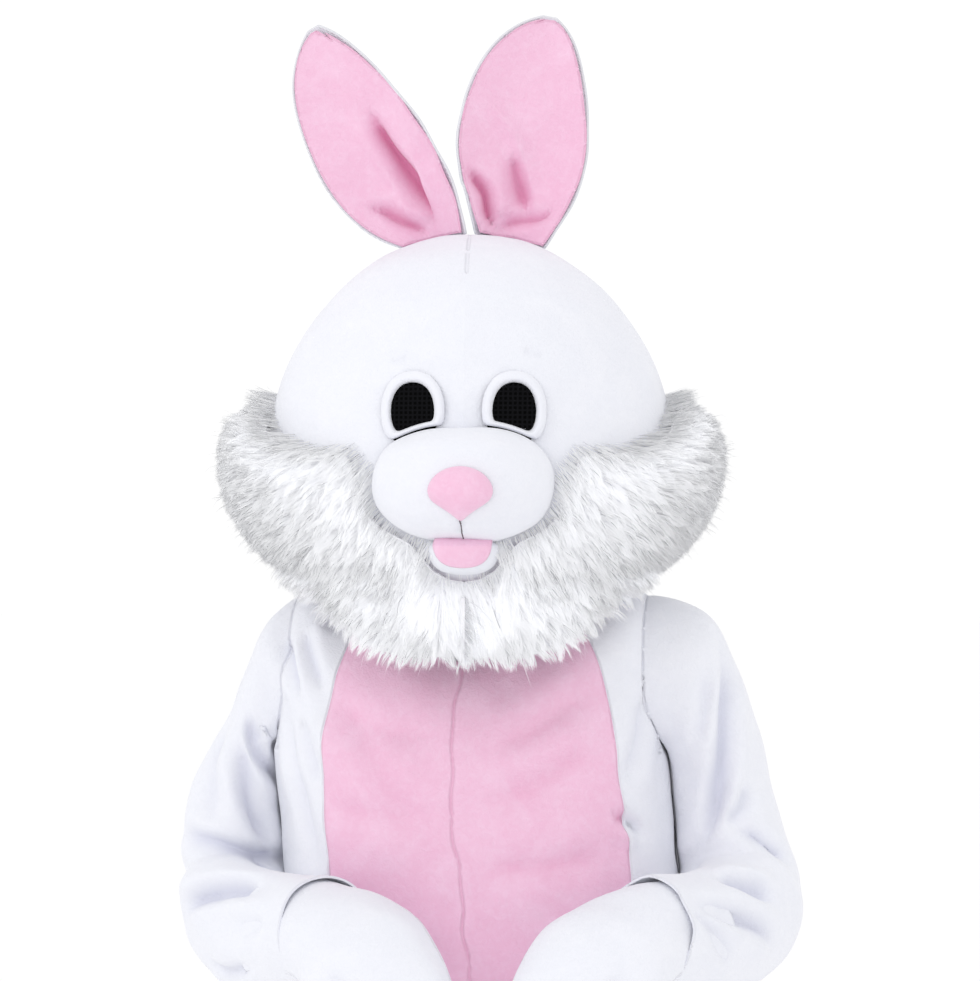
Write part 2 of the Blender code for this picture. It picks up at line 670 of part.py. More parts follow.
def mitt_grid(side, sleeve_inside, tree):
    """Rings of a whole mitt: its cuff lies inside the sleeve's end, and it closes at the finger tips."""
    shift = MITT_LEFT_SHIFT if side > 0 else 0.0
    around = 2 * MITT_COUNT
    rings = []
    table = MITT_RIGHT
    centres = [Vector((side * (row[0] + shift), row[1], row[2])) for row in table]
    end = sum(sleeve_inside[-1], Vector()) / ARMHOLE_COUNT
    sleeve_axis = (end - sum(sleeve_inside[-2], Vector()) / ARMHOLE_COUNT).normalized()
    for ring, row in enumerate(table):
        before = centres[max(ring - 1, 0)]
        after = centres[min(ring + 1, len(centres) - 1)]
        axis = sleeve_axis.lerp((after - before).normalized(), ease(ring / MITT_TURN_RINGS)).normalized()
        wide = Vector((side * KNUCKLE_LINE[0], KNUCKLE_LINE[1], KNUCKLE_LINE[2]))
        wide = (wide - axis * wide.dot(axis)).normalized()
        thick = (wide.cross(axis) * side).normalized()
        points = []
        for index in range(around):
            angle = 2 * pi * index / around
            offset = wide * row[3] * cos(angle) + thick * row[4] * sin(angle)
            points.append(keep_clear(tree, centres[ring] + offset, TRUNK_CLEARANCE))
        rings.append(points)
    return rings


def make_mitt(side_name, sleeve_inside, tree, finish):
    side = SIDES[side_name]
    rings = mitt_grid(side, sleeve_inside, tree)
    cuff = []
    for ring in sleeve_inside[-MITT_TUCK:]:
        centre = sum(ring, Vector()) / len(ring)
        reach = [point - centre for point in ring]
        cuff.append((centre, reach))
    first = rings[0]
    first_centre = sum(first, Vector()) / len(first)
    lined = []
    for centre, reach in cuff:
        points = []
        for point in first:
            direction = (point - first_centre).normalized()
            points.append(centre + ring_reach(reach, direction) - direction * CUFF_GAP)
        lined.append(points)
    grid = lined + rings[1:]
    normals = tube_normals(grid)
    tip_centre = sum(grid[TIP_RING], Vector()) / len(first)
    tip_axis = (grid[-1][0] - tip_centre).normalized()
    normals[-1] = [tip_axis] * len(first)
    half = len(first) // 2
    for part, start in (("back", 0), ("palm", half)):
        order = [(start + step) % len(first) for step in range(half + 1)]
        outer = [[ring[index] for index in order] for ring in grid]
        lines = [[line[index] for index in order] for line in normals]
        outer = part_edges(outer, ("first", "last"))
        lift = (outer[TIP_RING][half // 2] - tip_centre).normalized() * SEAM_HALF
        outer[-1] = [grid[-1][0] + lift] * (half + 1)
        inside = [[p - n * PLUSH for p, n in zip(ring, line)] for ring, line in zip(outer, lines)]
        inside[-1] = [inside[-1][0]] * (half + 1)
        build_solid(f"mitt_{part}_{side_name}", outer, inside, False, finish)


def ring_reach(reach, direction):
    """Where a ray from a ring's centre meets the ring, taken in the ring's own plane."""
    axis = reach[0].cross(reach[len(reach) // 4]).normalized()
    flat = (direction - axis * direction.dot(axis)).normalized()
    other = axis.cross(flat)
    best = None
    for start, end in zip(reach, reach[1:] + reach[:1]):
        low, high = start.dot(other), end.dot(other)
        if low * high > 0 or abs(high - low) < 1e-9:
            continue
        point = start.lerp(end, low / (low - high))
        if point.dot(flat) > 0 and (best is None or point.length < best.length):
            best = point
    return best


# Head


def head_place(across, ahead, up):
    """A point from the head's own axes: across to the wearer's left, ahead out of the face, and up."""
    turn = radians(HEAD_TURN)
    x = HEAD_CENTRE[0] + across * cos(turn) + ahead * sin(turn)
    y = HEAD_CENTRE[1] - ahead * cos(turn) + across * sin(turn)
    return Vector((x, y, up))


def head_size(z):
    """(half width, front depth, back depth) of the head at a height."""
    rows = [(-row[0], *row[1:]) for row in HEAD]
    for index in range(len(rows) - 1):
        if -z <= rows[index + 1][0] or index == len(rows) - 2:
            span = rows[index + 1][0] - rows[index][0]
            part = (-z - rows[index][0]) / span
            return smooth_row([row[1:] for row in rows], index + min(max(part, 0.0), 1.0))
    return rows[-1][1:]


def head_ahead(across, z):
    """How far ahead the head's surface is at a place across and up."""
    half_width, front, _ = head_size(z)
    share = min(abs(across) / half_width, 0.999)
    return front * (1 - share**HEAD_POWER) ** (1 / HEAD_POWER)


def head_top(across, ahead):
    """The height of the crown over a place in the head's plan."""
    low, high = 0.22, HEAD[0][0]
    for _ in range(40):
        middle = (low + high) / 2
        half_width, front, back = head_size(middle)
        depth = front if ahead >= 0 else back
        size = (abs(across) / max(half_width, 1e-6)) ** HEAD_POWER
        size += (abs(ahead) / max(depth, 1e-6)) ** HEAD_POWER
        if size < 1:
            low = middle
        else:
            high = middle
    return low


def head_ring_point(side, bearing, values, grow):
    """A point of a head ring, bearing in degrees from the front, moved out by grow."""
    half_width, front, back = values
    angle = radians(bearing)
    depth = front if bearing <= 90 else back
    across = signed_power(sin(angle), 2 / HEAD_POWER) * (half_width + grow)
    ahead = signed_power(cos(angle), 2 / HEAD_POWER) * (depth + grow)
    return side * across, ahead


def make_head_half(side_name, finish, cutter):
    side = SIDES[side_name]
    outer = []
    inner = []
    for index, row in enumerate(HEAD):
        after = HEAD[min(index + 1, len(HEAD) - 1)]
        before = HEAD[max(index - 1, 0)]
        slope = atan2(after[1] - before[1], before[0] - after[0])
        out_row = []
        in_row = []
        for step in range(HEAD_STEPS + 1):
            bearing = 180 * step / HEAD_STEPS
            across, ahead = head_ring_point(side, bearing, row[1:], 0.0)
            out_row.append(head_place(across + side * SEAM_HALF, ahead, row[0]))
            shrink = min(FOAM_WALL * cos(slope), row[1])
            across, ahead = head_ring_point(side, bearing, row[1:], -shrink)
            drop = FOAM_WALL * sin(slope) if index else FOAM_WALL
            low = row[0] - drop if index < len(HEAD) - 1 else row[0]
            in_row.append(head_place(across + side * SEAM_HALF, ahead, low))
        outer.append(out_row)
        inner.append(in_row)
    half = build_solid(f"head_{side_name}", outer, inner, False, finish)
    cut = half.modifiers.new("eye opening", "BOOLEAN")
    cut.operation = "DIFFERENCE"
    cut.solver = "EXACT"
    cut.object = cutter
    return half


def arch(side, half_width, half_height, clearance, count=16):
    """An eye's outline: a tall arch whose lower edge stays this clear of the muzzle, as (across, up) pairs."""
    points = []
    for step in range(count):
        angle = 2 * pi * step / count
        across = side * EYE_ACROSS + signed_power(cos(angle), 0.85) * half_width
        share = min(abs(across) / MUZZLE_HALF_WIDTH, 1.0) ** MUZZLE_POWER
        muzzle_top = MUZZLE_Z + MUZZLE_HALF_HEIGHT * (1 - share) ** (1 / MUZZLE_POWER)
        points.append((across, max(EYE_Z + sin(angle) * half_height, muzzle_top + clearance)))
    return points


def make_eye_cutter(side_name):
    side = SIDES[side_name]
    mesh = bmesh.new()
    outline = arch(side, EYE_HALF_WIDTH, EYE_HALF_HEIGHT, EYE_CLEARANCE)
    ends = []
    for ahead in CUT_AHEAD:
        ring = [head_place(across, ahead, up) for across, up in outline]
        ends.append([mesh.verts.new(point) for point in ring])
    mesh.faces.new(ends[0])
    mesh.faces.new(ends[1])
    for step in range(len(outline)):
        after = (step + 1) % len(outline)
        mesh.faces.new([ends[0][step], ends[0][after], ends[1][after], ends[1][step]])
    bmesh.ops.recalc_face_normals(mesh, faces=mesh.faces)
    data = bpy.data.meshes.new(f"cut_eye_{side_name}")
    mesh.to_mesh(data)
    mesh.free()
    cutter = bpy.data.objects.new(f"cut_eye_{side_name}", data)
    bpy.context.collection.objects.link(cutter)
    cutter.hide_render = True
    cutter.display_type = "WIRE"
    return cutter


def face_point(across, up, proud):
    """A point over the face, moved straight ahead of the head's surface by proud."""
    return head_place(across, head_ahead(across, up) + proud, up)


def make_face_pad(name, outline, rings, low, high, finish):
    """A closed pad over the face, between two heights that low and high give for a share and a place."""
    skins = []
    for height in (high, low):
        grid = []
        for share in rings:
            row = []
            for across, up in outline(share):
                row.append(height(share, across, up))
            grid.append(row)
        skins.append(grid)
    return build_solid(name, skins[0], skins[1], True, finish)


def make_eye(side_name, white, black):
    side = SIDES[side_name]
    hole = arch(side, EYE_HALF_WIDTH, EYE_HALF_HEIGHT, EYE_CLEARANCE)
    edge = arch(side, PATCH_HALF_WIDTH, PATCH_HALF_HEIGHT, PATCH_CLEARANCE)

    def ring(share):
        pairs = []
        for start, end in zip(hole, edge):
            pairs.append(tuple(a + (b - a) * share for a, b in zip(start, end)))
        return pairs

    def high(share, across, up):
        dome = sqrt(max(1 - (2 * share - 1) ** 2, 0.0))
        return face_point(across, up, SEAT + PATCH_EDGE + PATCH_PROUD * dome)

    def low(_, across, up):
        return face_point(across, up, SEAT)

    make_face_pad(f"eye_patch_{side_name}", ring, (0.0, 0.25, 0.6, 0.9, 1.0), low, high, white)
    screen = arch(side, EYE_HALF_WIDTH + MESH_BORDER, EYE_HALF_HEIGHT + MESH_BORDER, -MESH_BORDER)
    centre = (side * EYE_ACROSS, EYE_Z)

    def screen_ring(share):
        return [tuple(c + (p - c) * share for c, p in zip(centre, point)) for point in screen]

    def behind(depth):
        return lambda _, across, up: face_point(across, up, -FOAM_WALL * FOAM_AHEAD - depth)

    make_face_pad(
        f"eye_mesh_{side_name}", screen_ring, (0.0, 0.35, 0.7, 1.0),
        behind(MESH_DEPTH + MESH_WALL), behind(MESH_DEPTH), black,
    )


def muzzle_outline(share, count=24):
    points = []
    for step in range(count):
        angle = 2 * pi * step / count
        across = signed_power(cos(angle), 2 / MUZZLE_POWER) * MUZZLE_HALF_WIDTH * share
        up = signed_power(sin(angle), 2 / MUZZLE_POWER) * MUZZLE_HALF_HEIGHT * share
        points.append((across, MUZZLE_Z + up))
    return points


def muzzle_ahead(across, up):
    share = (abs(across) / MUZZLE_HALF_WIDTH) ** MUZZLE_POWER
    share += (abs(up - MUZZLE_Z) / MUZZLE_HALF_HEIGHT) ** MUZZLE_POWER
    dome = sqrt(max(1 - share ** (2 / MUZZLE_POWER), 0.0))
    return head_ahead(across, up) + SEAT + MUZZLE_EDGE + (MUZZLE_PROUD - MUZZLE_EDGE) * dome


def make_muzzle(finish):
    def high(_, across, up):
        return head_place(across, muzzle_ahead(across, up), up)

    def low(_, across, up):
        return face_point(across, up, SEAT)

    shares = [sin(radians(angle)) for angle in (0, 18, 36, 54, 70, 82, 90)]
    make_face_pad("muzzle", muzzle_outline, shares, low, high, finish)


def nose_outline(share, count=16):
    """A rounded triangle that points down."""
    points = []
    for step in range(count):
        angle = 2 * pi * step / count
        up = sin(angle)
        width = 1.0 + (1.0 - NOSE_FOOT) / 2 * (up - 1.0) if up < 0 else 1.0
        points.append((cos(angle) * NOSE_HALF_WIDTH * width * share, NOSE_Z + up * NOSE_HALF_HEIGHT * share))
    return points


def make_nose(finish):
    def high(share, across, up):
        swell = NOSE_PROUD * sqrt(max(1 - share**2, 0.0)) + NOSE_EDGE
        return head_place(across, muzzle_ahead(across, up) + SEAT + swell, up)

    def low(_, across, up):
        return head_place(across, muzzle_ahead(across, up) + SEAT, up)

    make_face_pad("nose", nose_outline, (0.0, 0.35, 0.65, 0.88, 1.0), low, high, finish)


def jaw_outline(share, border=0.0, count=16):
    """A pad with a straight upper edge and a round lower one."""
    half_width = (JAW_HALF_WIDTH - border) * share
    middle = JAW_TOP_Z - JAW_SHOULDER
    points = []
    for step in range(count):
        angle = 2 * pi * step / count
        drop = (middle - JAW_LOW_Z - border) if sin(angle) < 0 else JAW_TOP_Z - middle - border * 0.2
        up = signed_power(sin(angle), 0.8) * drop * share
        points.append((signed_power(cos(angle), 0.8) * half_width, middle + up))
    return points


def jaw_ahead(across, up):
    middle = JAW_TOP_Z - JAW_SHOULDER
    drop = (middle - JAW_LOW_Z) if up < middle else JAW_TOP_Z - middle
    share = (abs(across) / JAW_HALF_WIDTH) ** JAW_POWER + (abs(up - middle) / drop) ** JAW_POWER
    return head_ahead(across, up) + SEAT + JAW_EDGE + (JAW_PROUD - JAW_EDGE) * sqrt(max(1 - share, 0.0))


def make_jaw(white, pink):
    def high(_, across, up):
        return head_place(across, jaw_ahead(across, up), up)

    def low(_, across, up):
        return face_point(across, up, SEAT)

    make_face_pad("jaw", jaw_outline, (0.0, 0.4, 0.7, 0.9, 1.0), low, high, white)

    def tongue_ring(share):
        return jaw_outline(share, TONGUE_BORDER)

    def lifted(lift):
        return lambda _, across, up: head_place(across, jaw_ahead(across, up) + lift, up)

    low_skin, high_skin = lifted(TONGUE_SEAT), lifted(TONGUE_SEAT + TONGUE_WALL)
    make_face_pad("tongue", tongue_ring, (0.0, 0.5, 1.0), low_skin, high_skin, pink)


# Ears


def ear_frame(base, tip, turn):
    """The ear's foot, its axis, its direction across and its direction ahead."""
    foot = head_place(base[0], base[1], head_top(*base))
    point = head_place(*tip)
    axis = (point - foot).normalized()
    across = head_place(1, 0, 0) - head_place(0, 0, 0)
    across = (across - axis * across.dot(axis)).normalized()
    ahead = axis.cross(across).normalized()
    if ahead.y > 0:
        ahead = -ahead
    rotation = Matrix.Rotation(radians(turn), 3, axis)
    return foot, point, rotation @ across, rotation @ ahead


def make_ear(side_name, profile, base, tip, turn, white, pink):
    foot, point, across, ahead = ear_frame(base, tip, turn)

    def skin(rim, loft):
        grid = []
        for along, reach_right, reach_left, cup in profile:
            along = min(along, 1 - rim * EAR_RIM_ALONG)
            centre = foot.lerp(point, along)
            row = []
            for step in range(EAR_STEPS + 1):
                share = 2 * step / EAR_STEPS - 1
                reach = max((reach_right if share < 0 else reach_left) - rim, EAR_LEAST)
                dish = cup * (1 - share**2)
                swell = loft * (1 - share**2) * min(1.0, EAR_SWELL * (1 - along))
                row.append(centre + across * reach * share - ahead * (dish + swell))
            grid.append(row)
        for column, spot in enumerate(grid[0]):
            local = spot - head_place(0, 0, 0)
            side_axis = head_place(1, 0, 0) - head_place(0, 0, 0)
            face_axis = head_place(0, 1, 0) - head_place(0, 0, 0)
            top = head_top(local.dot(side_axis), local.dot(face_axis))
            grid[0][column] = Vector((spot.x, spot.y, top + EAR_SEAT))
        return grid

    def shift(grid, distance):
        return [[spot + ahead * distance for spot in row] for row in grid]

    back = skin(0.0, EAR_LOFT)
    back_in = shift(back, EAR_WALL)
    front_out = shift(skin(EAR_RIM, 0.0), EAR_WALL * 2 + EAR_SPACE)
    front_in = shift(front_out, -EAR_WALL)
    for grid, base_grid in ((back_in, back), (front_out, back), (front_in, back)):
        for column, spot in enumerate(grid[0]):
            spot.z = max(spot.z, base_grid[0][column].z)
    build_solid(f"ear_back_{side_name}", back, back_in, False, white)
    build_solid(f"ear_front_{side_name}", front_out, front_in, False, pink)


# Fur ruff


def face_edge(bearing):
    """The lower edge of the muzzle and the jaw at a bearing near the front, less a clearance."""
    across = FACE_RADIUS * sin(radians(bearing))
    muzzle_share = min(across / MUZZLE_HALF_WIDTH, 0.999) ** MUZZLE_POWER
    muzzle_low = MUZZLE_Z - MUZZLE_HALF_HEIGHT * (1 - muzzle_share) ** (1 / MUZZLE_POWER)
    jaw_reach = JAW_HALF_WIDTH + FACE_MARGIN
    jaw_share = min(across / jaw_reach, 1.0)
    jaw_low = JAW_LOW_Z + (JAW_TOP_Z - JAW_SHOULDER - JAW_LOW_Z) * (1 - sqrt(1 - jaw_share**2))
    if across > jaw_reach:
        return muzzle_low - FACE_DROP
    return min(muzzle_low, jaw_low) - FACE_DROP


def ruff_top(bearing):
    if bearing < RUFF_TOP[0][0]:
        return face_edge(bearing)
    return between(RUFF_TOP, bearing)[0]


def make_ruff(side_name, tree, finish):
    side = SIDES[side_name]
    rim_z = HEAD[-1][0]
    outer = []
    inner = []
    for down, fur_front, fur_side, fur_back in RUFF:
        out_row = []
        in_row = []
        for bearing in RUFF_BEARINGS:
            low_z, low_radius = between(RUFF_LOW, bearing)
            top_z = ruff_top(bearing)
            z = top_z + (low_z - top_z) * down
            if z >= rim_z:
                across, ahead = head_ring_point(side, bearing, head_size(z), RUFF_SEAT)
            else:
                sunk = (rim_z - z) / (rim_z - low_z)
                start = head_ring_point(side, bearing, HEAD[-1][1:], RUFF_SEAT)
                angle = radians(bearing)
                end = (side * low_radius * sin(angle), low_radius * cos(angle))
                across = start[0] + (end[0] - start[0]) * sunk
                ahead = start[1] + (end[1] - start[1]) * sunk
            fur_end = fur_front if bearing <= 90 else fur_back
            fur = fur_side + (fur_end - fur_side) * cos(radians(bearing)) ** 2
            fur *= between(RUFF_FULL, bearing)[0]
            out = Vector((across, ahead)).normalized() * fur
            spots = (
                head_place(across + side * SEAM_HALF, ahead, z),
                head_place(across + out.x + side * SEAM_HALF, ahead + out.y, z),
            )
            if down > 0.5:
                spots = [keep_clear(tree, spot, RUFF_CLEARANCE) for spot in spots]
            in_row.append(spots[0])
            out_row.append(spots[1])
        outer.append(out_row)
        inner.append(in_row)
    build_solid(f"ruff_{side_name}", outer, inner, False, finish)


def main():
    clear_scene()
    white = material("short white plush", WHITE, 0.9)
    pink = material("short pink plush", PINK, 0.9)
    fur = material("long white fur", FUR_WHITE, 0.95)
    black = material("black eye mesh", BLACK, 0.7)
    tree = trunk_tree()
    for side_name, side in SIDES.items():
        grid = sleeve_grid(side, tree)
        mitres = armhole_mitres(side, grid)
        make_trunk(side_name, white, pink, mitres)
        sleeve_inside = make_sleeve(side_name, grid, mitres, white)
        make_mitt(side_name, sleeve_inside, tree, white)
        cutter = make_eye_cutter(side_name)
        make_head_half(side_name, white, cutter)
        make_eye(side_name, white, black)
        make_ruff(side_name, tree, fur)
    make_muzzle(white)
    make_nose(pink)
    make_jaw(white, pink)
    make_ear("right", EAR_RIGHT, EAR_RIGHT_BASE, EAR_RIGHT_TIP, EAR_TURN_RIGHT, white, pink)
    make_ear("left", EAR_LEFT, EAR_LEFT_BASE, EAR_LEFT_TIP, EAR_TURN_LEFT, white, pink)


main()
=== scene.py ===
"""Rabbit mascot costume, dressed: a plush suit, mitts, and a padded head with ears and a fur ruff."""

import logging
import math
from dataclasses import dataclass, field
from enum import Enum
from functools import cache
from typing import Any, Iterable, Sequence

import bmesh
import bpy
import numpy as np
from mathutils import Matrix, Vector
from mathutils.bvhtree import BVHTree
from mathutils.kdtree import KDTree


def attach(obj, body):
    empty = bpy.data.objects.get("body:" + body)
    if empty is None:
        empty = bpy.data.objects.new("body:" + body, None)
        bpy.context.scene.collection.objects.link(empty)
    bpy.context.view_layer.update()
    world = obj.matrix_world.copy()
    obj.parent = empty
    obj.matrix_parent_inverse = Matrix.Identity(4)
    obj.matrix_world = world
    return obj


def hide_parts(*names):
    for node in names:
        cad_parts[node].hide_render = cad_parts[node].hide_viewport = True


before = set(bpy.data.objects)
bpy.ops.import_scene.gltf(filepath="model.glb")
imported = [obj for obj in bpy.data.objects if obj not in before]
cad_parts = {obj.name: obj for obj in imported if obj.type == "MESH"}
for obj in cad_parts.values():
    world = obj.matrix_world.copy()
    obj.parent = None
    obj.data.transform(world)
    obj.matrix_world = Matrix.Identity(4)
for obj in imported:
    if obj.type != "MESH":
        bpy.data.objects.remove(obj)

LOG = logging.getLogger("rabbit_costume")
BODY = "root"
SIDES = ("right", "left")
MM = 0.001

Colour = tuple[float, float, float]
Place = tuple[float, float, float]
Spot = tuple[float, ...]
Path = tuple[Spot, ...]
Nodes = tuple[str, ...]


# Shader helpers


class Sock:
    """A node's output whose operators add Math nodes."""

    def __init__(self, tree: bpy.types.NodeTree, socket: bpy.types.NodeSocket) -> None:
        """Keeps the output and the tree that it is in."""
        self.tree = tree
        self.socket = socket

    def maths(self, operation: str, first: Any, second: Any) -> "Sock":
        """Adds one Math node.

        Args:
            operation: the node's operation.
            first: a socket or a number.
            second: a socket or a number.

        Returns:
            The node's output.
        """
        node = self.tree.nodes.new("ShaderNodeMath")
        node.operation = operation
        for place, value in zip(node.inputs, (first, second)):
            if isinstance(value, Sock):
                self.tree.links.new(value.socket, place)
            else:
                place.default_value = value
        return Sock(self.tree, node.outputs[0])

    def __add__(self, other: Any) -> "Sock":
        """This output plus a value."""
        return self.maths("ADD", self, other)

    def __radd__(self, other: Any) -> "Sock":
        """A value plus this output."""
        return self.maths("ADD", other, self)

    def __sub__(self, other: Any) -> "Sock":
        """This output less a value."""
        return self.maths("SUBTRACT", self, other)

    def __rsub__(self, other: Any) -> "Sock":
        """A value less this output."""
        return self.maths("SUBTRACT", other, self)

    def __mul__(self, other: Any) -> "Sock":
        """This output times a value."""
        return self.maths("MULTIPLY", self, other)

    def __rmul__(self, other: Any) -> "Sock":
        """A value times this output."""
        return self.maths("MULTIPLY", other, self)


class Recipe:
    """The node tree of one finish."""

    def __init__(self, name: str) -> None:
        """Starts a material with its Principled shader.

        Args:
            name: the material's name.
        """
        self.material = bpy.data.materials.new(name)
        self.material.use_nodes = True
        self.tree = self.material.node_tree
        self.surface = self.tree.nodes["Principled BSDF"]

    def put(
        self, kind: str, settings: dict[str, Any] | None = None,
        sockets: dict[Any, Any] | None = None, output: Any = 0,
    ) -> Sock:
        """Adds a node.

        Args:
            kind: the node's type.
            settings: its own settings, which are set first.
            sockets: values or links by the input's name or number.
            output: the output's name or number.

        Returns:
            The chosen output.
        """
        node = self.tree.nodes.new(kind)
        for name, value in (settings or {}).items():
            setattr(node, name, value)
        for name, value in (sockets or {}).items():
            if isinstance(value, Sock):
                self.tree.links.new(value.socket, node.inputs[name])
            else:
                node.inputs[name].default_value = value
        return Sock(self.tree, node.outputs[output])

    def blend(self, share: Any, low: Any, high: Any) -> Sock:
        """Mixes two colours by a share.

        Args:
            share: 0 gives low and 1 gives high.
            low: a colour or a link.
            high: a colour or a link.

        Returns:
            The mixed colour.
        """
        ends = {0: share, 6: low, 7: high}
        for key in (6, 7):
            if isinstance(ends[key], tuple):
                ends[key] = (*ends[key], 1.0)
        return self.put("ShaderNodeMix", {"data_type": "RGBA"}, ends, 2)

    def ramp(self, value: Sock, low: float, high: float) -> Sock:
        """A smooth step of a value, from 0 at low to 1 at high."""
        sockets = {"Value": value, "From Min": low, "From Max": high}
        return self.put("ShaderNodeMapRange", {"interpolation_type": "SMOOTHSTEP"}, sockets)

    def set(self, **values: Any) -> None:
        """Sets or links inputs of the Principled shader, with _ for a space."""
        for name, value in values.items():
            place = self.surface.inputs[name.replace("_", " ")]
            if isinstance(value, Sock):
                self.tree.links.new(value.socket, place)
            elif isinstance(value, tuple):
                place.default_value = (*value, 1.0)
            else:
                place.default_value = value

    def emboss(self, height: Sock, depth: float, strength: float = 1.0) -> None:
        """Turns a height from 0 to 1 into a bump of a depth in metres."""
        sockets = {"Height": height, "Distance": depth, "Strength": strength}
        self.set(Normal=self.put("ShaderNodeBump", None, sockets, "Normal"))


@dataclass(frozen=True)
class Plush:
    """Short-pile plush: a soft nap, brushed patches and sunk seams, with painted shade in the folds and along
    the seams.
    """

    name: str
    colour: Colour
    brushed: Colour
    # The colour that folds and seams are darkened towards, as painted shade
    shade_colour: Colour
    nap: float = 0.0009
    groove: float = 0.0032
    sheen: float = 0.35
    # How far the seams are darkened with painted shade
    shade: float = 0.22
    pile_scale: float = 520.0
    tuft_scale: float = 150.0
    patch_scale: float = 17.0
    patch_share: float = 0.55
    tuft_share: float = 0.45
    # How far the folds are darkened with painted shade
    fold_shade_share: float = 0.75
    roughness: float = 0.84
    groove_height: float = 1.3

    def build(self) -> bpy.types.Material:
        """The plush as a material, read from Object coordinates and the seam and fold attributes."""
        recipe = Recipe(self.name)
        where = recipe.put("ShaderNodeTexCoord", output="Object")
        pile = recipe.put(
            "ShaderNodeTexNoise", None,
            {"Vector": where, "Scale": self.pile_scale, "Detail": 3.0, "Roughness": 0.62},
        )
        tufts = recipe.put(
            "ShaderNodeTexNoise", None,
            {"Vector": where, "Scale": self.tuft_scale, "Detail": 2.0, "Distortion": 0.8},
        )
        patches = recipe.put(
            "ShaderNodeTexNoise", None,
            {"Vector": where, "Scale": self.patch_scale, "Detail": 3.0, "Distortion": 1.2},
        )
        seam = recipe.put("ShaderNodeAttribute", {"attribute_name": "seam"}, output="Fac")
        fold = recipe.put("ShaderNodeAttribute", {"attribute_name": "fold"}, output="Fac")
        open_cloth = recipe.ramp(seam, 0.0, self.groove)
        brushed = recipe.ramp(patches, 0.40, 0.72) * self.patch_share
        brushed = brushed + recipe.ramp(tufts, 0.35, 0.75) * self.tuft_share
        colour = recipe.blend(brushed, self.colour, self.brushed)
        # Painted shade: the colour is darkened towards the shade colour in the folds and along the seams
        painted_shade = recipe.ramp(fold, 0.0, 1.0) * self.fold_shade_share + (1.0 - open_cloth) * self.shade
        recipe.set(
            Base_Color=recipe.blend(painted_shade, colour, self.shade_colour),
            Roughness=recipe.ramp(patches, 0.3, 0.8) * 0.10 + self.roughness,
            Sheen_Weight=self.sheen, Sheen_Roughness=0.45, Sheen_Tint=(1.0, 1.0, 1.0),
            Specular_IOR_Level=0.15,
        )
        recipe.emboss(pile * 0.5 + tufts * 0.7 + open_cloth * self.groove_height, self.nap)
        return recipe.material


@dataclass(frozen=True)
class LongPile:
    """Long-pile faux fur: each strand runs from a root darkened with painted shade to a pale tip, along its
    own UV.

    The glow stands for the light that the thin translucent fibres pass on to each other.
    """

    name: str
    root: Colour
    tip: Colour
    glow: float = 0.26

    def build(self) -> bpy.types.Material:
        """The fur as a material, read from the strands' UV map."""
        recipe = Recipe(self.name)
        strand = recipe.put("ShaderNodeUVMap", {"uv_map": "strand"})
        along = recipe.put("ShaderNodeSeparateXYZ", None, {0: strand}, 1)
        each = recipe.put("ShaderNodeSeparateXYZ", None, {0: strand}, 0)
        # The root end of each strand is darkened with painted shade
        pale = recipe.blend(recipe.ramp(along, 0.0, 0.55), self.root, self.tip)
        warm = tuple(0.96 * part for part in self.tip)
        recipe.set(
            Base_Color=recipe.blend(recipe.ramp(each, 0.55, 1.0) * 0.6, pale, warm),
            Roughness=each * 0.2 + 0.5, Specular_IOR_Level=0.25,
            Sheen_Weight=0.25, Sheen_Roughness=0.5, Sheen_Tint=(1.0, 1.0, 1.0),
            Emission_Color=self.tip, Emission_Strength=self.glow,
        )
        return recipe.material


@dataclass(frozen=True)
class EyeMesh:
    """Matt black open mesh that the wearer sees through, woven of round threads."""

    name: str
    thread: Colour
    hole: Colour
    threads_a_metre: float = 1300.0

    def build(self) -> bpy.types.Material:
        """The mesh as a material: two sets of bands that cross."""
        recipe = Recipe(self.name)
        where = recipe.put("ShaderNodeTexCoord", output="Object")
        bands = []
        for direction in ("X", "Z"):
            bands.append(recipe.put(
                "ShaderNodeTexWave",
                {"wave_type": "BANDS", "bands_direction": direction, "wave_profile": "SIN"},
                {"Vector": where, "Scale": self.threads_a_metre / 20.0, "Distortion": 0.0}, "Fac",
            ))
        weave = bands[0].maths("MAXIMUM", bands[0], bands[1])
        recipe.set(
            Base_Color=recipe.blend(recipe.ramp(weave, 0.45, 0.85), self.hole, self.thread),
            Roughness=weave * 0.1 + 0.85, Specular_IOR_Level=0.04,
        )
        recipe.emboss(weave, 0.0005)
        return recipe.material


@dataclass(frozen=True)
class Stitching:
    """Twisted sewing thread."""

    name: str
    colour: Colour

    def build(self) -> bpy.types.Material:
        """The thread as a material with a fine diagonal twist and painted shade in its grooves."""
        recipe = Recipe(self.name)
        where = recipe.put("ShaderNodeTexCoord", output="Object")
        twist = recipe.put(
            "ShaderNodeTexWave", {"bands_direction": "DIAGONAL"}, {"Vector": where, "Scale": 260.0}, "Fac"
        )
        # The grooves of the twist are darkened with painted shade
        darker = tuple(0.8 * part for part in self.colour)
        recipe.set(Base_Color=recipe.blend(twist, darker, self.colour), Roughness=0.7)
        recipe.emboss(twist, 0.0002)
        return recipe.material


@dataclass(frozen=True)
class StudioPaper:
    """The seamless paper under the costume."""

    name: str
    colour: Colour

    def build(self) -> bpy.types.Material:
        """The paper as a material with a faint mottle."""
        recipe = Recipe(self.name)
        where = recipe.put("ShaderNodeTexCoord", output="Object")
        mottle = recipe.put("ShaderNodeTexNoise", None, {"Vector": where, "Scale": 3.0, "Detail": 2.0})
        darker = tuple(0.985 * part for part in self.colour)
        recipe.set(Base_Color=recipe.blend(mottle, darker, self.colour), Roughness=0.95)
        return recipe.material


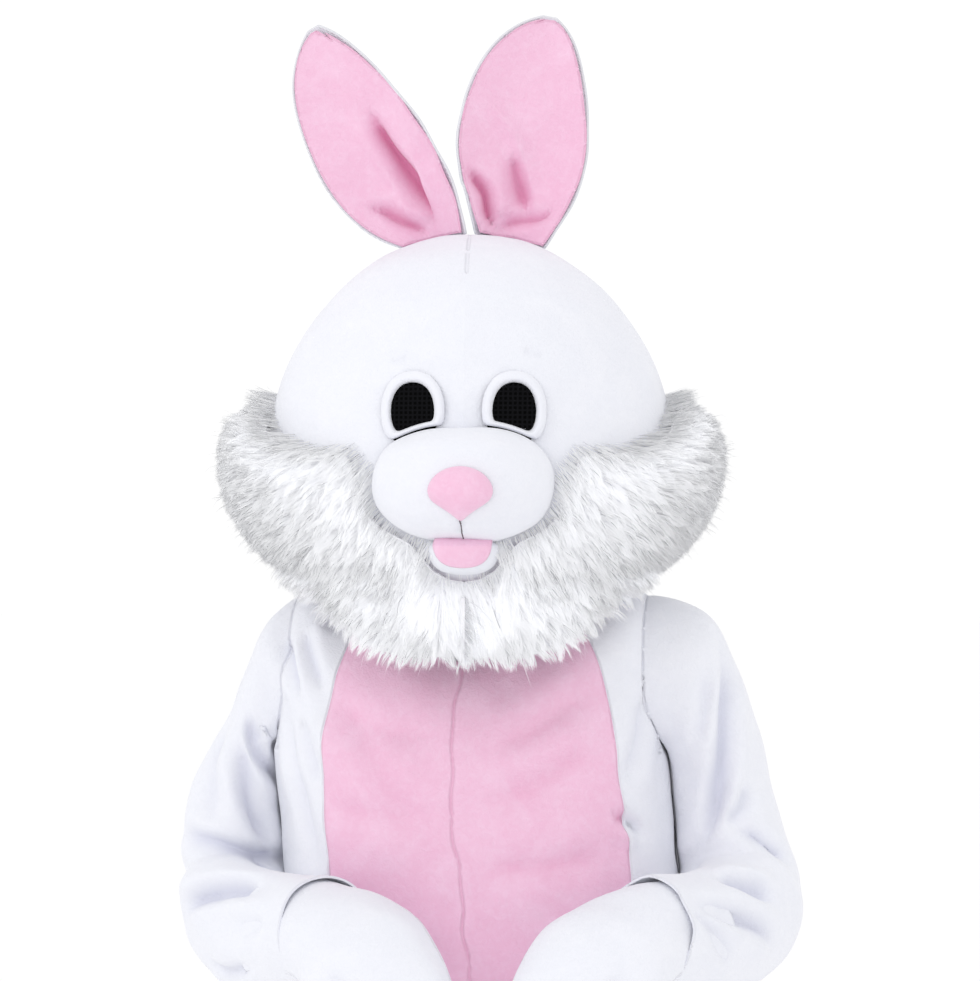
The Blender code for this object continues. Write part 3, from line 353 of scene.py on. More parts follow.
class Finish(Enum):
    """The costume's finishes."""

    # The third colour of each plush is its painted shade colour, for its folds and seams.
    WHITE = Plush("white plush", (0.82, 0.83, 0.89), (0.85, 0.857, 0.91), (0.66, 0.67, 0.78), shade=0.10)
    PINK = Plush("pink plush", (0.86, 0.52, 0.69), (0.89, 0.60, 0.76), (0.66, 0.17, 0.35))
    BACKING = Plush("fur backing", (0.90, 0.90, 0.93), (0.93, 0.93, 0.95), (0.8, 0.8, 0.85), shade=0.0)
    FUR = LongPile("long white fur", (0.84, 0.845, 0.875), (0.88, 0.885, 0.905))
    BLACK = EyeMesh("black eye mesh", (0.006, 0.006, 0.007), (0.001, 0.001, 0.001))
    THREAD = Stitching("white thread", (0.84, 0.845, 0.89))
    DARK_THREAD = Stitching("grey thread", (0.16, 0.13, 0.15))
    PAPER = StudioPaper("studio paper", (0.99, 0.99, 0.99))


MADE: dict[Finish, bpy.types.Material] = {}


def dress(obj: bpy.types.Object, finish: Finish) -> None:
    """Gives an object one finish, which is built the first time it is used.

    Args:
        obj: the piece.
        finish: its only material.
    """
    if finish not in MADE:
        MADE[finish] = finish.value.build()
    obj.data.materials.clear()
    obj.data.materials.append(MADE[finish])


# Cloth helpers


@dataclass(frozen=True)
class Core:
    """A line through the hollow that a piece goes round. The cloth's outer side faces away from it."""

    line: tuple[Place, ...]

    def away(self, place: Vector) -> Vector:
        """The direction to a place from the nearest point of the line.

        Args:
            place: a place on the piece.

        Returns:
            A unit direction.
        """
        best = None
        for start, end in zip(self.line, self.line[1:]):
            low, high = Vector(start), Vector(end)
            span = high - low
            share = min(max((place - low).dot(span) / span.length_squared, 0.0), 1.0)
            offset = place - (low + span * share)
            if best is None or offset.length < best.length:
                best = offset
        return best.normalized()


@dataclass(frozen=True)
class Facing:
    """One direction, for a piece whose outer side all faces one way."""

    direction: Place

    def away(self, place: Vector) -> Vector:
        """The direction, wherever the place is."""
        return Vector(self.direction).normalized()


TRUNK_CORE = Core(((-0.015, 0.0, -0.170), (0.0, 0.0, -0.620)))
LEG_CORE = {
    side: Core((
        (-0.015, 0.0, -0.170), (0.0, 0.0, -0.600), (way * 0.105, 0.0, -0.760), (way * 0.100, 0.0, -1.400),
    ))
    for side, way in zip(SIDES, (-1, 1))
}
SLEEVE_CORE = {
    "right": Core((
        (-0.205, 0.002, -0.090), (-0.263, 0.009, -0.180), (-0.290, 0.002, -0.285), (-0.279, -0.024, -0.330),
        (-0.267, -0.069, -0.359), (-0.225, -0.126, -0.366), (-0.125, -0.225, -0.347),
    )),
    "left": Core((
        (0.195, 0.002, -0.090), (0.246, 0.009, -0.181), (0.266, 0.002, -0.281), (0.278, -0.024, -0.323),
        (0.273, -0.071, -0.350), (0.246, -0.129, -0.357), (0.180, -0.231, -0.341),
    )),
}
MITT_CORE = {
    "right": Core((
        (-0.150, -0.200, -0.352), (-0.106, -0.252, -0.358), (-0.088, -0.269, -0.376),
        (-0.071, -0.277, -0.410), (-0.060, -0.277, -0.450), (-0.055, -0.273, -0.484),
        (-0.053, -0.268, -0.510),
    )),
    "left": Core((
        (0.200, -0.205, -0.346), (0.166, -0.252, -0.358), (0.148, -0.269, -0.376), (0.131, -0.277, -0.410),
        (0.120, -0.277, -0.450), (0.115, -0.273, -0.484), (0.113, -0.268, -0.510),
    )),
}
HEAD_CORE = Core(((-0.016, -0.030, 0.120), (-0.016, -0.030, 0.230)))
RUFF_CORE = Core(((-0.016, -0.030, -0.400), (-0.016, -0.030, 0.500)))
LEAST_FACING = 0.10  # a face of the skin faces outwards at least so far
RIM_FACING = 0.75  # a narrow face that faces outwards less than this is the wall's rim
RIM_SHARE = 1.5  # a face is narrow where its shortest edge is under so many walls
JOINED = 0.00002  # points of a solid this close are one
SEAM_SHOWN = 0.05  # how far from a seam it is told, and the height over which it fades to the plain stretch
TOWARDS = 0.35  # how squarely two pieces face each other before they press together
PRESSED = 0.47  # the share of the gap that each piece closes
SWELLS = 9  # waves that add up to a cloth's unevenness
SWELL_LEVEL = 3.5
SWELL_RANGE = (0.6, 1.7)

# The section of a crease, in its own widths, and how it dies away
CREASE_REACH = 4.0
CREASE_MARGIN = 0.01
CREASE_RUN_OUT = 1.6
CREASE_RISE = 0.032  # metres off the path
CREASE_TAPER = 0.28  # share of the length at either end
CREASE_END = 0.12  # share of the depth that is left at the tip
LIFT_WEIGHT = 0.4  # what a metre off the cloth counts beside a metre along it
BROAD_SHARE = 0.70
SHARP_SHARE = 0.30
SHARP_WIDTH = 0.42
RIDGE_SHARE = 0.36
RIDGE_PLACE = 1.9
RIDGE_WIDTH = 1.15
# The depth of crease at which a trough gets its darkest painted shade
DARKEST_DEPTH = 14.0  # millimetres


def merged_copy(node: str) -> bmesh.types.BMesh:
    """A copy of a CAD node's mesh with its loose triangles joined.

    Args:
        node: the CAD node.

    Returns:
        The copy, which the caller frees.
    """
    mesh = bmesh.new()
    mesh.from_mesh(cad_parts[node].data)
    bmesh.ops.remove_doubles(mesh, verts=mesh.verts, dist=JOINED)
    return mesh


@cache
def solid_tree(node: str) -> BVHTree:
    """A CAD node's faces, for finding places on them.

    Args:
        node: the CAD node.

    Returns:
        The tree, which is kept for the next call.
    """
    mesh = merged_copy(node)
    tree = BVHTree.FromBMesh(mesh)
    mesh.free()
    return tree


@dataclass(frozen=True)
class View:
    """Where the studio's camera stands, and its picture in dots, counted across and down from the top left.

    A line of sight that misses the solids is searched from pass_start metres on, in even steps.
    """

    azimuth: float = math.radians(8.0)
    distance: float = 3.2
    span: float = 1.078
    target: Place = (0.0, 0.0, 0.109)
    dots_wide: int = 980
    dots_high: int = 981
    pass_start: float = 2.6
    pass_step: float = 0.008
    pass_steps: int = 120

    def away(self) -> Vector:
        """The level direction from the target to the camera."""
        return Vector((math.sin(self.azimuth), -math.cos(self.azimuth), 0.0))

    def eye(self) -> Vector:
        """The camera's place."""
        return Vector(self.target) + self.away() * self.distance

    def sight(self, across: float, down: float) -> Vector:
        """The direction in which the camera sees a dot.

        Args:
            across: dots from the picture's left.
            down: dots from its top.

        Returns:
            A unit direction.
        """
        dot = self.span / self.dots_wide
        level = Vector((math.cos(self.azimuth), math.sin(self.azimuth), 0.0))
        side = level * ((across - self.dots_wide / 2) * dot)
        rise = Vector((0.0, 0.0, (self.dots_high / 2 - down) * dot))
        return (side + rise - self.away() * self.distance).normalized()

    def find(self, spot: Spot, nodes: Nodes) -> Spot:
        """Finds a spot of a path on the solids.

        Args:
            spot: a place in full, or a dot with or without a way out of its own.
            nodes: the CAD nodes that a dot is found on. One just outside them lands on the nearest place.

        Returns:
            The place in whole millimetres and the way out of the cloth there.
        """
        if len(spot) == FULL_SPOT:
            return spot
        way = self.sight(*spot[:2])
        trees = [solid_tree(node) for node in nodes]
        hits = [hit for hit in (tree.ray_cast(self.eye(), way) for tree in trees) if hit[0] is not None]
        if not hits:
            steps = [self.pass_start + self.pass_step * step for step in range(self.pass_steps)]
            hits = [tree.find_nearest(self.eye() + way * step) for step in steps for tree in trees]
        place, out = min(hits, key=lambda hit: hit[3])[:2]
        return (*(round(part / MM) for part in place), *(spot[2:] or (round(part, 2) for part in out)))


FULL_SPOT = 6  # numbers in a spot that is written in full
VIEW = View()


def turned_quads(mesh: bmesh.types.BMesh) -> None:
    """Joins pairs of triangles back into the four-sided faces that cloth is smoothed from.

    Args:
        mesh: the skin, which is changed.
    """
    bmesh.ops.join_triangles(
        mesh, faces=mesh.faces, angle_face_threshold=math.radians(48), angle_shape_threshold=math.radians(75)
    )


def smoothed(mesh: bmesh.types.BMesh, levels: int) -> tuple[np.ndarray, np.ndarray]:
    """Subdivides a skin into smooth cloth.

    Args:
        mesh: the skin, which is freed.
        levels: subdivision levels.

    Returns:
        Its points and its four-sided faces.
    """
    data = bpy.data.meshes.new("skin")
    mesh.to_mesh(data)
    mesh.free()
    holder = bpy.data.objects.new("skin", data)
    bpy.context.collection.objects.link(holder)
    smooth = holder.modifiers.new("smooth", "SUBSURF")
    smooth.levels = levels
    smooth.render_levels = levels
    smooth.boundary_smooth = "PRESERVE_CORNERS"
    made = bpy.data.meshes.new_from_object(holder.evaluated_get(bpy.context.evaluated_depsgraph_get()))
    points = np.empty(len(made.vertices) * 3)
    made.vertices.foreach_get("co", points)
    corners = np.empty(len(made.loops), np.int64)
    made.loops.foreach_get("vertex_index", corners)
    bpy.data.objects.remove(holder)
    bpy.data.meshes.remove(made)
    bpy.data.meshes.remove(data)
    return points.reshape(-1, 3), corners.reshape(-1, 4)


@dataclass
class Cloth:
    """The outer skin of a piece as points and four-sided faces, while it is folded and sewn.

    Seams don't show below plain_below, where long use of the brush has laid the pile over them.
    """

    name: str
    points: np.ndarray
    faces: np.ndarray
    plain_below: float = -9.0
    # The painted shade of the folds at each point, from 0 to 1
    painted_shade: np.ndarray = field(init=False)
    rim: np.ndarray = field(init=False)

    def __post_init__(self) -> None:
        """Finds the edge of the cloth and starts with no folds and no painted fold shade."""
        self.painted_shade = np.zeros(len(self.points))
        self.rim = self.open_edge()

    @classmethod
    def panel(
        cls, node: str, outward: Any, levels: int, wall: float = 0.0024, least: float = LEAST_FACING,
    ) -> "Cloth":
        """The outer side of a thin walled node.

        Args:
            node: the CAD node.
            outward: the Core or Facing that its outer side faces away from.
            levels: subdivision levels.
            wall: the wall's thickness, which tells the rim's faces from the skin's.
            least: how far outwards a face of the skin faces at least, which is less in a tight bend.

        Returns:
            The cloth.
        """
        mesh = merged_copy(node)
        inner = []
        for face in mesh.faces:
            facing = face.normal.dot(outward.away(face.calc_center_median()))
            shortest = min(edge.calc_length() for edge in face.edges)
            if facing < least or (shortest < wall * RIM_SHARE and facing < RIM_FACING):
                inner.append(face)
        bmesh.ops.delete(mesh, geom=inner, context="FACES")
        turned_quads(mesh)
        return cls(node, *smoothed(mesh, levels))

    @classmethod
    def pad(cls, node: str, outward: Any, levels: int, depth: float = -0.45) -> "Cloth":
        """A pad's crown and sides, open where it sits on the head.

        Args:
            node: the CAD node.
            outward: the Core or Facing that its outer side faces away from.
            levels: subdivision levels.
            depth: faces that face outwards less than this are its underside.

        Returns:
            The cloth.
        """
        mesh = merged_copy(node)
        under = [f for f in mesh.faces if f.normal.dot(outward.away(f.calc_center_median())) < depth]
        bmesh.ops.delete(mesh, geom=under, context="FACES")
        turned_quads(mesh)
        return cls(node, *smoothed(mesh, levels))

    def open_edge(self) -> np.ndarray:
        """The pairs of points along the cloth's open edge."""
        ends = np.concatenate([self.faces[:, [a, (a + 1) % 4]] for a in range(4)])
        pairs, uses = np.unique(np.sort(ends, axis=1), axis=0, return_counts=True)
        return pairs[uses == 1]

    def normals(self) -> np.ndarray:
        """The outward direction at each point."""
        corner = self.points[self.faces]
        across = np.cross(corner[:, 2] - corner[:, 0], corner[:, 3] - corner[:, 1])
        total = np.zeros_like(self.points)
        for step in range(4):
            np.add.at(total, self.faces[:, step], across)
        return total / np.maximum(np.linalg.norm(total, axis=1, keepdims=True), 1e-12)

    def relax(self, rounds: int) -> None:
        """Evens out the skin, apart from its edge.

        Args:
            rounds: how many times each point moves half way to the mean of its neighbours.
        """
        ends = np.concatenate([self.faces[:, [a, (a + 1) % 4]] for a in range(4)])
        ends = np.unique(np.sort(ends, axis=1), axis=0)
        held = np.zeros(len(self.points), bool)
        held[np.unique(self.rim)] = True
        count = np.zeros(len(self.points))
        np.add.at(count, ends.ravel(), 1)
        for _ in range(rounds):
            total = np.zeros_like(self.points)
            np.add.at(total, ends[:, 0], self.points[ends[:, 1]])
            np.add.at(total, ends[:, 1], self.points[ends[:, 0]])
            mean = total / np.maximum(count, 1)[:, None]
            self.points[~held] += 0.5 * (mean[~held] - self.points[~held])

    def area(self) -> float:
        """The cloth's area in square metres."""
        corner = self.points[self.faces]
        across = np.cross(corner[:, 2] - corner[:, 0], corner[:, 3] - corner[:, 1])
        return float(np.linalg.norm(across, axis=1).sum() / 2)

    def from_edge(self, step: float = 0.003) -> np.ndarray:
        """How far each point is from the open edge.

        Args:
            step: about how far apart the places are that the edge is measured at, in metres.

        Returns:
            A distance for each point, in metres.
        """
        low, high = self.points[self.rim[:, 0]], self.points[self.rim[:, 1]]
        count = max(int(np.linalg.norm(high - low, axis=1).max() / step), 1)
        spots = np.concatenate([low + (high - low) * (part / count) for part in range(count)])
        tree = KDTree(len(spots))
        for index, spot in enumerate(spots):
            tree.insert(spot, index)
        tree.balance()
        return np.array([tree.find(point)[2] for point in self.points])

    def sew_edges(self, depth: float) -> None:
        """Draws the edge of the cloth in, as a seam does.

        Args:
            depth: how far, in metres.
        """
        normals = self.normals()
        edge = np.unique(self.rim)
        shown = np.clip((self.points[edge, 2] - self.plain_below) / SEAM_SHOWN + 1.0, 0.0, 1.0)
        self.points[edge] -= normals[edge] * depth * shown[:, None]

    def keep_rim_flat(self, data: bpy.types.Mesh) -> None:
        """Keeps the shading level right up to the edge, so that a seam is a fine line.

        Args:
            data: the piece's mesh, which gets the mark.
        """
        count = len(self.points)
        ends = np.empty(2 * len(data.edges), np.int32)
        data.edges.foreach_get("vertices", ends)
        ends = np.sort(ends.reshape(-1, 2), axis=1).astype(np.int64)
        rim = np.sort(self.rim, axis=1).astype(np.int64)
        sharp = data.attributes.new("sharp_edge", "BOOLEAN", "EDGE")
        on_rim = np.isin(ends[:, 0] * count + ends[:, 1], rim[:, 0] * count + rim[:, 1])
        sharp.data.foreach_set("value", on_rim)

    def make(self, finish: Finish, wall: float, slot: str) -> bpy.types.Object:
        """Makes the piece.

        Args:
            finish: its material.
            wall: thickness of the cloth, laid inwards.
            slot: not used.

        Returns:
            The object, which replaces its CAD node and rides on the body.
        """
        data = bpy.data.meshes.new(self.name)
        data.from_pydata(self.points.tolist(), [], self.faces.tolist())
        seam = data.attributes.new("seam", "FLOAT", "POINT")
        hidden = np.clip((self.plain_below - self.points[:, 2]) / SEAM_SHOWN, 0.0, 1.0)
        gap = np.minimum(self.from_edge() + SEAM_SHOWN * hidden, SEAM_SHOWN)
        seam.data.foreach_set("value", gap.astype(np.float32))
        # The fold attribute holds the painted shade of the creases, which darkens the plush
        fold = data.attributes.new("fold", "FLOAT", "POINT")
        fold.data.foreach_set("value", np.clip(self.painted_shade, 0.0, 1.0).astype(np.float32))
        data.shade_smooth()
        self.keep_rim_flat(data)
        obj = bpy.data.objects.new(f"{self.name}_cloth", data)
        bpy.context.collection.objects.link(obj)
        thick = obj.modifiers.new("cloth", "SOLIDIFY")
        thick.thickness = wall
        thick.offset = -1.0
        dress(obj, finish)
        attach(obj, BODY)
        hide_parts(self.name)
        LOG.info("%s: %d faces, %.4f square metres", obj.name, len(self.faces), self.area())
        return obj


def weld(cloths: Sequence[Cloth], reach: float = 0.004, rounds: int = 3) -> None:
    """Brings the edges of neighbouring pieces together where they are sewn.

    Args:
        cloths: the pieces that meet.
        reach: how far apart two edges may be to be sewn.
        rounds: how many times each edge moves half way to the other.
    """
    for _ in range(rounds):
        edges = [cloth.points[cloth.rim] for cloth in cloths]
        targets = []
        for number, cloth in enumerate(cloths):
            others = np.concatenate([edge for key, edge in enumerate(edges) if key != number])
            start, along = others[:, 0], others[:, 1] - others[:, 0]
            size = np.maximum((along**2).sum(axis=1), 1e-12)
            edge = np.unique(cloth.rim)
            places = cloth.points[edge].copy()
            for spot, place in enumerate(places):
                share = np.clip(((place - start) * along).sum(axis=1) / size, 0.0, 1.0)
                nearest = start + share[:, None] * along
                away = ((nearest - place) ** 2).sum(axis=1)
                best = int(away.argmin())
                if away[best] < reach**2:
                    places[spot] = (place + nearest[best]) / 2
            targets.append((edge, places))
        for cloth, (edge, places) in zip(cloths, targets):
            cloth.points[edge] = places


def press_together(first: Cloth, second: Cloth, near: float = 0.012, far: float = 0.034) -> None:
    """Lets two pieces that hang side by side puff out until they touch.

    Args:
        first: one piece.
        second: the other.
        near: the widest gap that closes.
        far: the gap at which neither moves.
    """
    moves = []
    for cloth, other in ((first, second), (second, first)):
        tree = BVHTree.FromPolygons(other.points.tolist(), other.faces.tolist())
        normals = cloth.normals()
        shift = np.zeros_like(cloth.points)
        for index, (point, normal) in enumerate(zip(cloth.points, normals)):
            place, facing, _, gap = tree.find_nearest(Vector(point), far)
            if place is None or gap < 1e-5:
                continue
            way = (place - Vector(point)) / gap
            if way.dot(Vector(normal)) < TOWARDS or facing.dot(way) > -TOWARDS:
                continue
            share = min(max((far - gap) / (far - near), 0.0), 1.0)
            shift[index] = np.array(way) * gap * PRESSED * share * share * (3 - 2 * share)
        moves.append(shift)
    for cloth, shift in zip((first, second), moves):
        edge = np.unique(cloth.rim)
        shift[edge] = 0.0
        cloth.points += shift


@dataclass(frozen=True)
class Crease:
    """A soft trough along a path on the cloth, or with a negative depth a ridge.

    Depth and width are millimetres, and lean moves the cloth that is pushed up to one side. Dots of the path
    are found on the nodes that the crease is on.
    """

    path: Path
    depth: float
    width: float
    lean: float = 0.0
    on: Nodes = ()

    def spaced(self, step: float = 0.005) -> tuple[np.ndarray, np.ndarray, np.ndarray]:
        """Even places on a smooth curve through the path.

        Args:
            step: about how far apart the places are, in metres.

        Returns:
            The places, their outward directions and their shares of the length.
        """
        rows = np.array([VIEW.find(spot, self.on) for spot in self.path], float)
        rows[:, :3] *= MM
        padded = np.concatenate([2 * rows[:1] - rows[1:2], rows, 2 * rows[-1:] - rows[-2:-1]])
        line = []
        for index in range(len(rows) - 1):
            before, here, after, beyond = padded[index : index + 4]
            count = max(int(np.linalg.norm(after[:3] - here[:3]) / step), 1)
            for part in np.arange(count) / count:
                bend = 2 * before - 5 * here + 4 * after - beyond
                turn = -before + 3 * here - 3 * after + beyond
                line.append(here + 0.5 * part * (after - before + part * (bend + part * turn)))
        line.append(rows[-1])
        line = np.array(line)
        out = line[:, 3:] / np.linalg.norm(line[:, 3:], axis=1, keepdims=True)
        return line[:, :3], out, np.linspace(0.0, 1.0, len(line))

    def push(self, points: np.ndarray) -> tuple[np.ndarray, np.ndarray]:
        """How the crease moves cloth.

        Args:
            points: places on the cloth.

        Returns:
            The movement of each, and the painted shade of the trough there, from 0 to 1.
        """
        places, out, shares = self.spaced()
        along = np.gradient(places, axis=0)
        along /= np.maximum(np.linalg.norm(along, axis=1, keepdims=True), 1e-9)
        width = self.width * MM
        reach = CREASE_REACH * width + CREASE_MARGIN
        moved = np.zeros_like(points)
        shade = np.zeros(len(points))
        near = np.all((points > places.min(0) - reach) & (points < places.max(0) + reach), axis=1)
        if not near.any():
            return moved, shade
        cloth = points[near]
        offsets = cloth[:, None, :] - places[None, :, :]
        lift = (offsets * out[None]).sum(2)
        flat = np.linalg.norm(offsets - lift[..., None] * out[None], axis=2)
        nearest = (flat + LIFT_WEIGHT * np.abs(lift)).argmin(1)
        rows = np.arange(len(cloth))
        offset, up, direction = offsets[rows, nearest], out[nearest], along[nearest]
        side = np.cross(direction, up)
        side /= np.maximum(np.linalg.norm(side, axis=1, keepdims=True), 1e-9)
        across = (offset * side).sum(1) / width
        beyond = (offset * direction).sum(1) / (CREASE_RUN_OUT * width)
        height = lift[rows, nearest] / CREASE_RISE
        share = shares[nearest]
        taper = np.clip(np.minimum(share, 1 - share) / CREASE_TAPER, 0.0, 1.0)
        taper = CREASE_END + (1 - CREASE_END) * taper * taper * (3 - 2 * taper)
        hold = taper * np.exp(-beyond**2) * np.exp(-height**2)
        trough = BROAD_SHARE * np.exp(-(across**2)) + SHARP_SHARE * np.exp(-((across / SHARP_WIDTH) ** 2))
        ridge = (1 + self.lean) * np.exp(-(((across - RIDGE_PLACE) / RIDGE_WIDTH) ** 2))
        ridge += (1 - self.lean) * np.exp(-(((across + RIDGE_PLACE) / RIDGE_WIDTH) ** 2))
        amount = self.depth * MM * hold * (trough - RIDGE_SHARE * ridge)
        moved[near] = -amount[:, None] * up
        # A trough, not a ridge, gets painted shade, darker the deeper the crease
        if self.depth > 0:
            shade[near] = hold * trough * min(self.depth / DARKEST_DEPTH, 1.0)
        return moved, shade


def fold(cloth: Cloth, creases: Iterable[Crease], strength: float = 1.0) -> None:
    """Lays creases into a cloth, all measured on the cloth as it was before any of them.

    Args:
        cloth: the piece, whose points are moved.
        creases: the creases, of which far ones do nothing.
        strength: how much of their depth is used.
    """
    start = cloth.points.copy()
    for crease in creases:
        moved, shade = crease.push(start)
        cloth.points = cloth.points + moved * strength
        # Keeps the darkest painted shade of all the creases at each point
        cloth.painted_shade = np.maximum(cloth.painted_shade, shade)


def soften(cloth: Cloth, height: float, length: float, seed: int = 7) -> None:
    """Makes a cloth uneven with low swells.

    Args:
        cloth: the piece.
        height: about the most that a place moves, in metres.
        length: about how long the swells are, in metres.
        seed: picks their directions.
    """
    chosen = np.random.default_rng(seed)
    swell = np.zeros(len(cloth.points))
    for _ in range(SWELLS):
        direction = chosen.normal(size=3)
        direction /= np.linalg.norm(direction)
        turns = 2 * math.pi / (length * chosen.uniform(*SWELL_RANGE))
        swell += np.sin(cloth.points @ direction * turns + chosen.uniform(0, 2 * math.pi))
    cloth.points = cloth.points + cloth.normals() * (swell * height / SWELL_LEVEL)[:, None]


def join_rings(name: str, centre: Sequence[Vector], radius: float, closed: bool) -> bpy.types.Object:
    """A round thread or piping along a line.

    Args:
        name: the piece's name.
        centre: places along its middle.
        radius: its radius.
        closed: whether it runs round to its start.

    Returns:
        The object.
    """
    curve = bpy.data.curves.new(name, "CURVE")
    curve.dimensions = "3D"
    curve.bevel_depth = radius
    curve.bevel_resolution = 2
    curve.use_fill_caps = True
    spline = curve.splines.new("POLY")
    spline.points.add(len(centre) - 1)
    for point, place in zip(spline.points, centre):
        point.co = (*place, 1.0)
    spline.use_cyclic_u = closed
    holder = bpy.data.objects.new(name, curve)
    bpy.context.collection.objects.link(holder)
    data = bpy.data.meshes.new_from_object(holder.evaluated_get(bpy.context.evaluated_depsgraph_get()))
    bpy.data.objects.remove(holder)
    bpy.data.curves.remove(curve)
    data.name = name
    data.shade_smooth()
    obj = bpy.data.objects.new(name, data)
    bpy.context.collection.objects.link(obj)
    return obj


def trim(obj: bpy.types.Object, finish: Finish) -> bpy.types.Object:
    """Finishes a small sewn-on piece and lets it ride on the body.

    Args:
        obj: the piece.
        finish: its material.

    Returns:
        The same object.
    """
    dress(obj, finish)
    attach(obj, BODY)
    LOG.info("%s: %d faces", obj.name, len(obj.data.polygons))
    return obj


def edge_loop(cloth: Cloth) -> list[Vector]:
    """The places along a cloth's longest open edge, in order.

    Args:
        cloth: the piece.

    Returns:
        The places.
    """
    after: dict[int, list[int]] = {}
    for low, high in cloth.rim:
        after.setdefault(int(low), []).append(int(high))
        after.setdefault(int(high), []).append(int(low))
    left = set(after)
    best: list[int] = []
    while left:
        start = left.pop()
        loop = [start]
        here = start
        while True:
            ahead = [index for index in after[here] if index in left]
            if not ahead:
                break
            here = ahead[0]
            left.discard(here)
            loop.append(here)
        if len(loop) > len(best):
            best = loop
    return [Vector(cloth.points[index]) for index in best]


# Folds. A spot of a path is a dot of the camera's view, across and down, which is found on the solids that
# the crease is on. A dot may have its own way out of the cloth, where the solid's face points another way.
# Other spots are written in full, as a place in millimetres and the way out there.

ON_RIGHT_SHOULDER: Nodes = ("front_right", "sleeve_right")
ON_RIGHT_FRONT: Nodes = ("front_right",)
ON_RIGHT_SLEEVE: Nodes = ("sleeve_right",)
ON_LEFT_SLEEVE: Nodes = ("sleeve_left",)
ON_LEFT_BELLY: Nodes = ("belly_left",)
ON_RIGHT_BELLY: Nodes = ("belly_right",)
ON_LEFT_FRONT: Nodes = ("front_left",)
ON_LEFT_HIP: Nodes = ("belly_left", "front_left")
ON_RIGHT_EAR: Nodes = ("ear_front_right",)
ON_LEFT_EAR: Nodes = ("ear_front_left",)
ON_RIGHT_BROW: Nodes = ("eye_patch_right", "head_right")
ON_LEFT_BROW: Nodes = ("eye_patch_left", "head_left")

RIGHT_SHOULDER_OUTER: Path = ((286, 634), (292, 664), (300, 700))
RIGHT_SHOULDER_INNER: Path = ((302, 627), (311, 658), (322, 692))
RIGHT_UPPER_ARM_INNER: Path = (
    (-262, -60, -128, -0.1, -1.0, -0.02), (-249, -52, -172, 0.45, -0.85, -0.15), (280, 788),
)
RIGHT_UPPER_ARM_SLANT: Path = ((235, 728), (246, 785), (260, 827), (275, 853))
RIGHT_UPPER_ARM_OUTER: Path = ((230, 717), (213, 756), (210, 800), (213, 835))
RIGHT_ELBOW_TOP: Path = ((176, 832), (215, 843), (258, 859), (-222, -90, -293, 0.25, -0.6, 0.75))
RIGHT_ELBOW_FRONT: Path = ((182, 916), (193, 900), (232, 887), (262, 888))
RIGHT_FOREARM_MIDDLE: Path = ((232, 930), (262, 922))
RIGHT_FOREARM_UNDER: Path = ((205, 955), (221, 973), (250, 968))
LEFT_UPPER_ARM_SHORT: Path = ((708, 668), (704, 711), (694, 750))
LEFT_UPPER_ARM_LONG: Path = (
    (723, 644), (730, 672), (727, 717), (722, 768), (712, 813), (701, 838), (690, 853),
)
LEFT_UPPER_ARM_LOW: Path = ((749, 782), (743, 807), (727, 827))
LEFT_ELBOW_TOP: Path = ((735, 828), (751, 835), (775, 850), (790, 862))
LEFT_ELBOW_FRONT: Path = ((715, 878, 0.3, -0.4, 0.86), (740, 883), (779, 897))
LEFT_FOREARM_OUTER: Path = ((692, 901), (734, 916), (766, 933), (776, 950))
LEFT_FOREARM_UNDER: Path = ((688, 905), (712, 930), (734, 967))
RIGHT_SHOULDER_TOP: Path = ((325, 612), (339, 630))
RIGHT_ARMPIT: Path = ((286, 706), (297, 779), (305, 818), (318, 868))
BELLY_LEFT_EDGE: Path = ((612, 812), (620, 818), (636, 827), (646, 839))
BELLY_LEFT_TOP: Path = ((596, 692), (560, 712), (520, 738), (490, 752))
BELLY_LEFT_MIDDLE: Path = ((600, 745), (570, 765), (530, 790), (480, 805))
BELLY_LEFT_LOW: Path = ((610, 850), (570, 862), (520, 868), (480, 862))
BELLY_RIGHT_TOP: Path = ((330, 700), (360, 722), (400, 735), (436, 735))
BELLY_RIGHT_MIDDLE: Path = ((322, 800, -0.6, -0.8, -0.0), (360, 812), (410, 815), (445, 808))
BELLY_RIGHT_SLANT: Path = ((340, 690), (380, 770), (430, 850))
RIGHT_SIDE: Path = ((300, 715), (312, 760), (316, 790))
LEFT_SIDE: Path = ((655, 690), (640, 740), (625, 790))
RIGHT_EAR_GULLY: Path = ((368, 104), (378, 128), (404, 169), (428, 206), (435, 231))
RIGHT_EAR_RIDGE: Path = ((400, 139), (422, 169), (431, 200), (438, 228))
RIGHT_EAR_TUCK: Path = ((365, 207), (383, 210), (400, 219), (417, 227), (430, 234))
LEFT_EAR_GULLY: Path = (
    (-22, -42, 461, -0.2, -0.97, -0.09), (476, 180, 0.3, -0.95, 0.0), (485, 193, 0.35, -0.93, 0),
    (489, 215, 0.35, -0.93, 0), (498, 230, 0.3, -0.95, 0.05),
)
LEFT_EAR_RIDGE: Path = ((478, 89), (511, 130), (521, 152), (532, 191), (537, 217))
LEFT_EAR_SHADE: Path = ((512, 150), (519, 180), (523, 200), (528, 216))
LEFT_EAR_TUCK: Path = ((498, 230), (515, 222), (539, 218), (554, 208))
RIGHT_EYE_DIMPLE: Path = ((390, 360), (398, 358), (408, 357))
LEFT_EYE_DIMPLE: Path = ((524, 352), (532, 351), (542, 355))

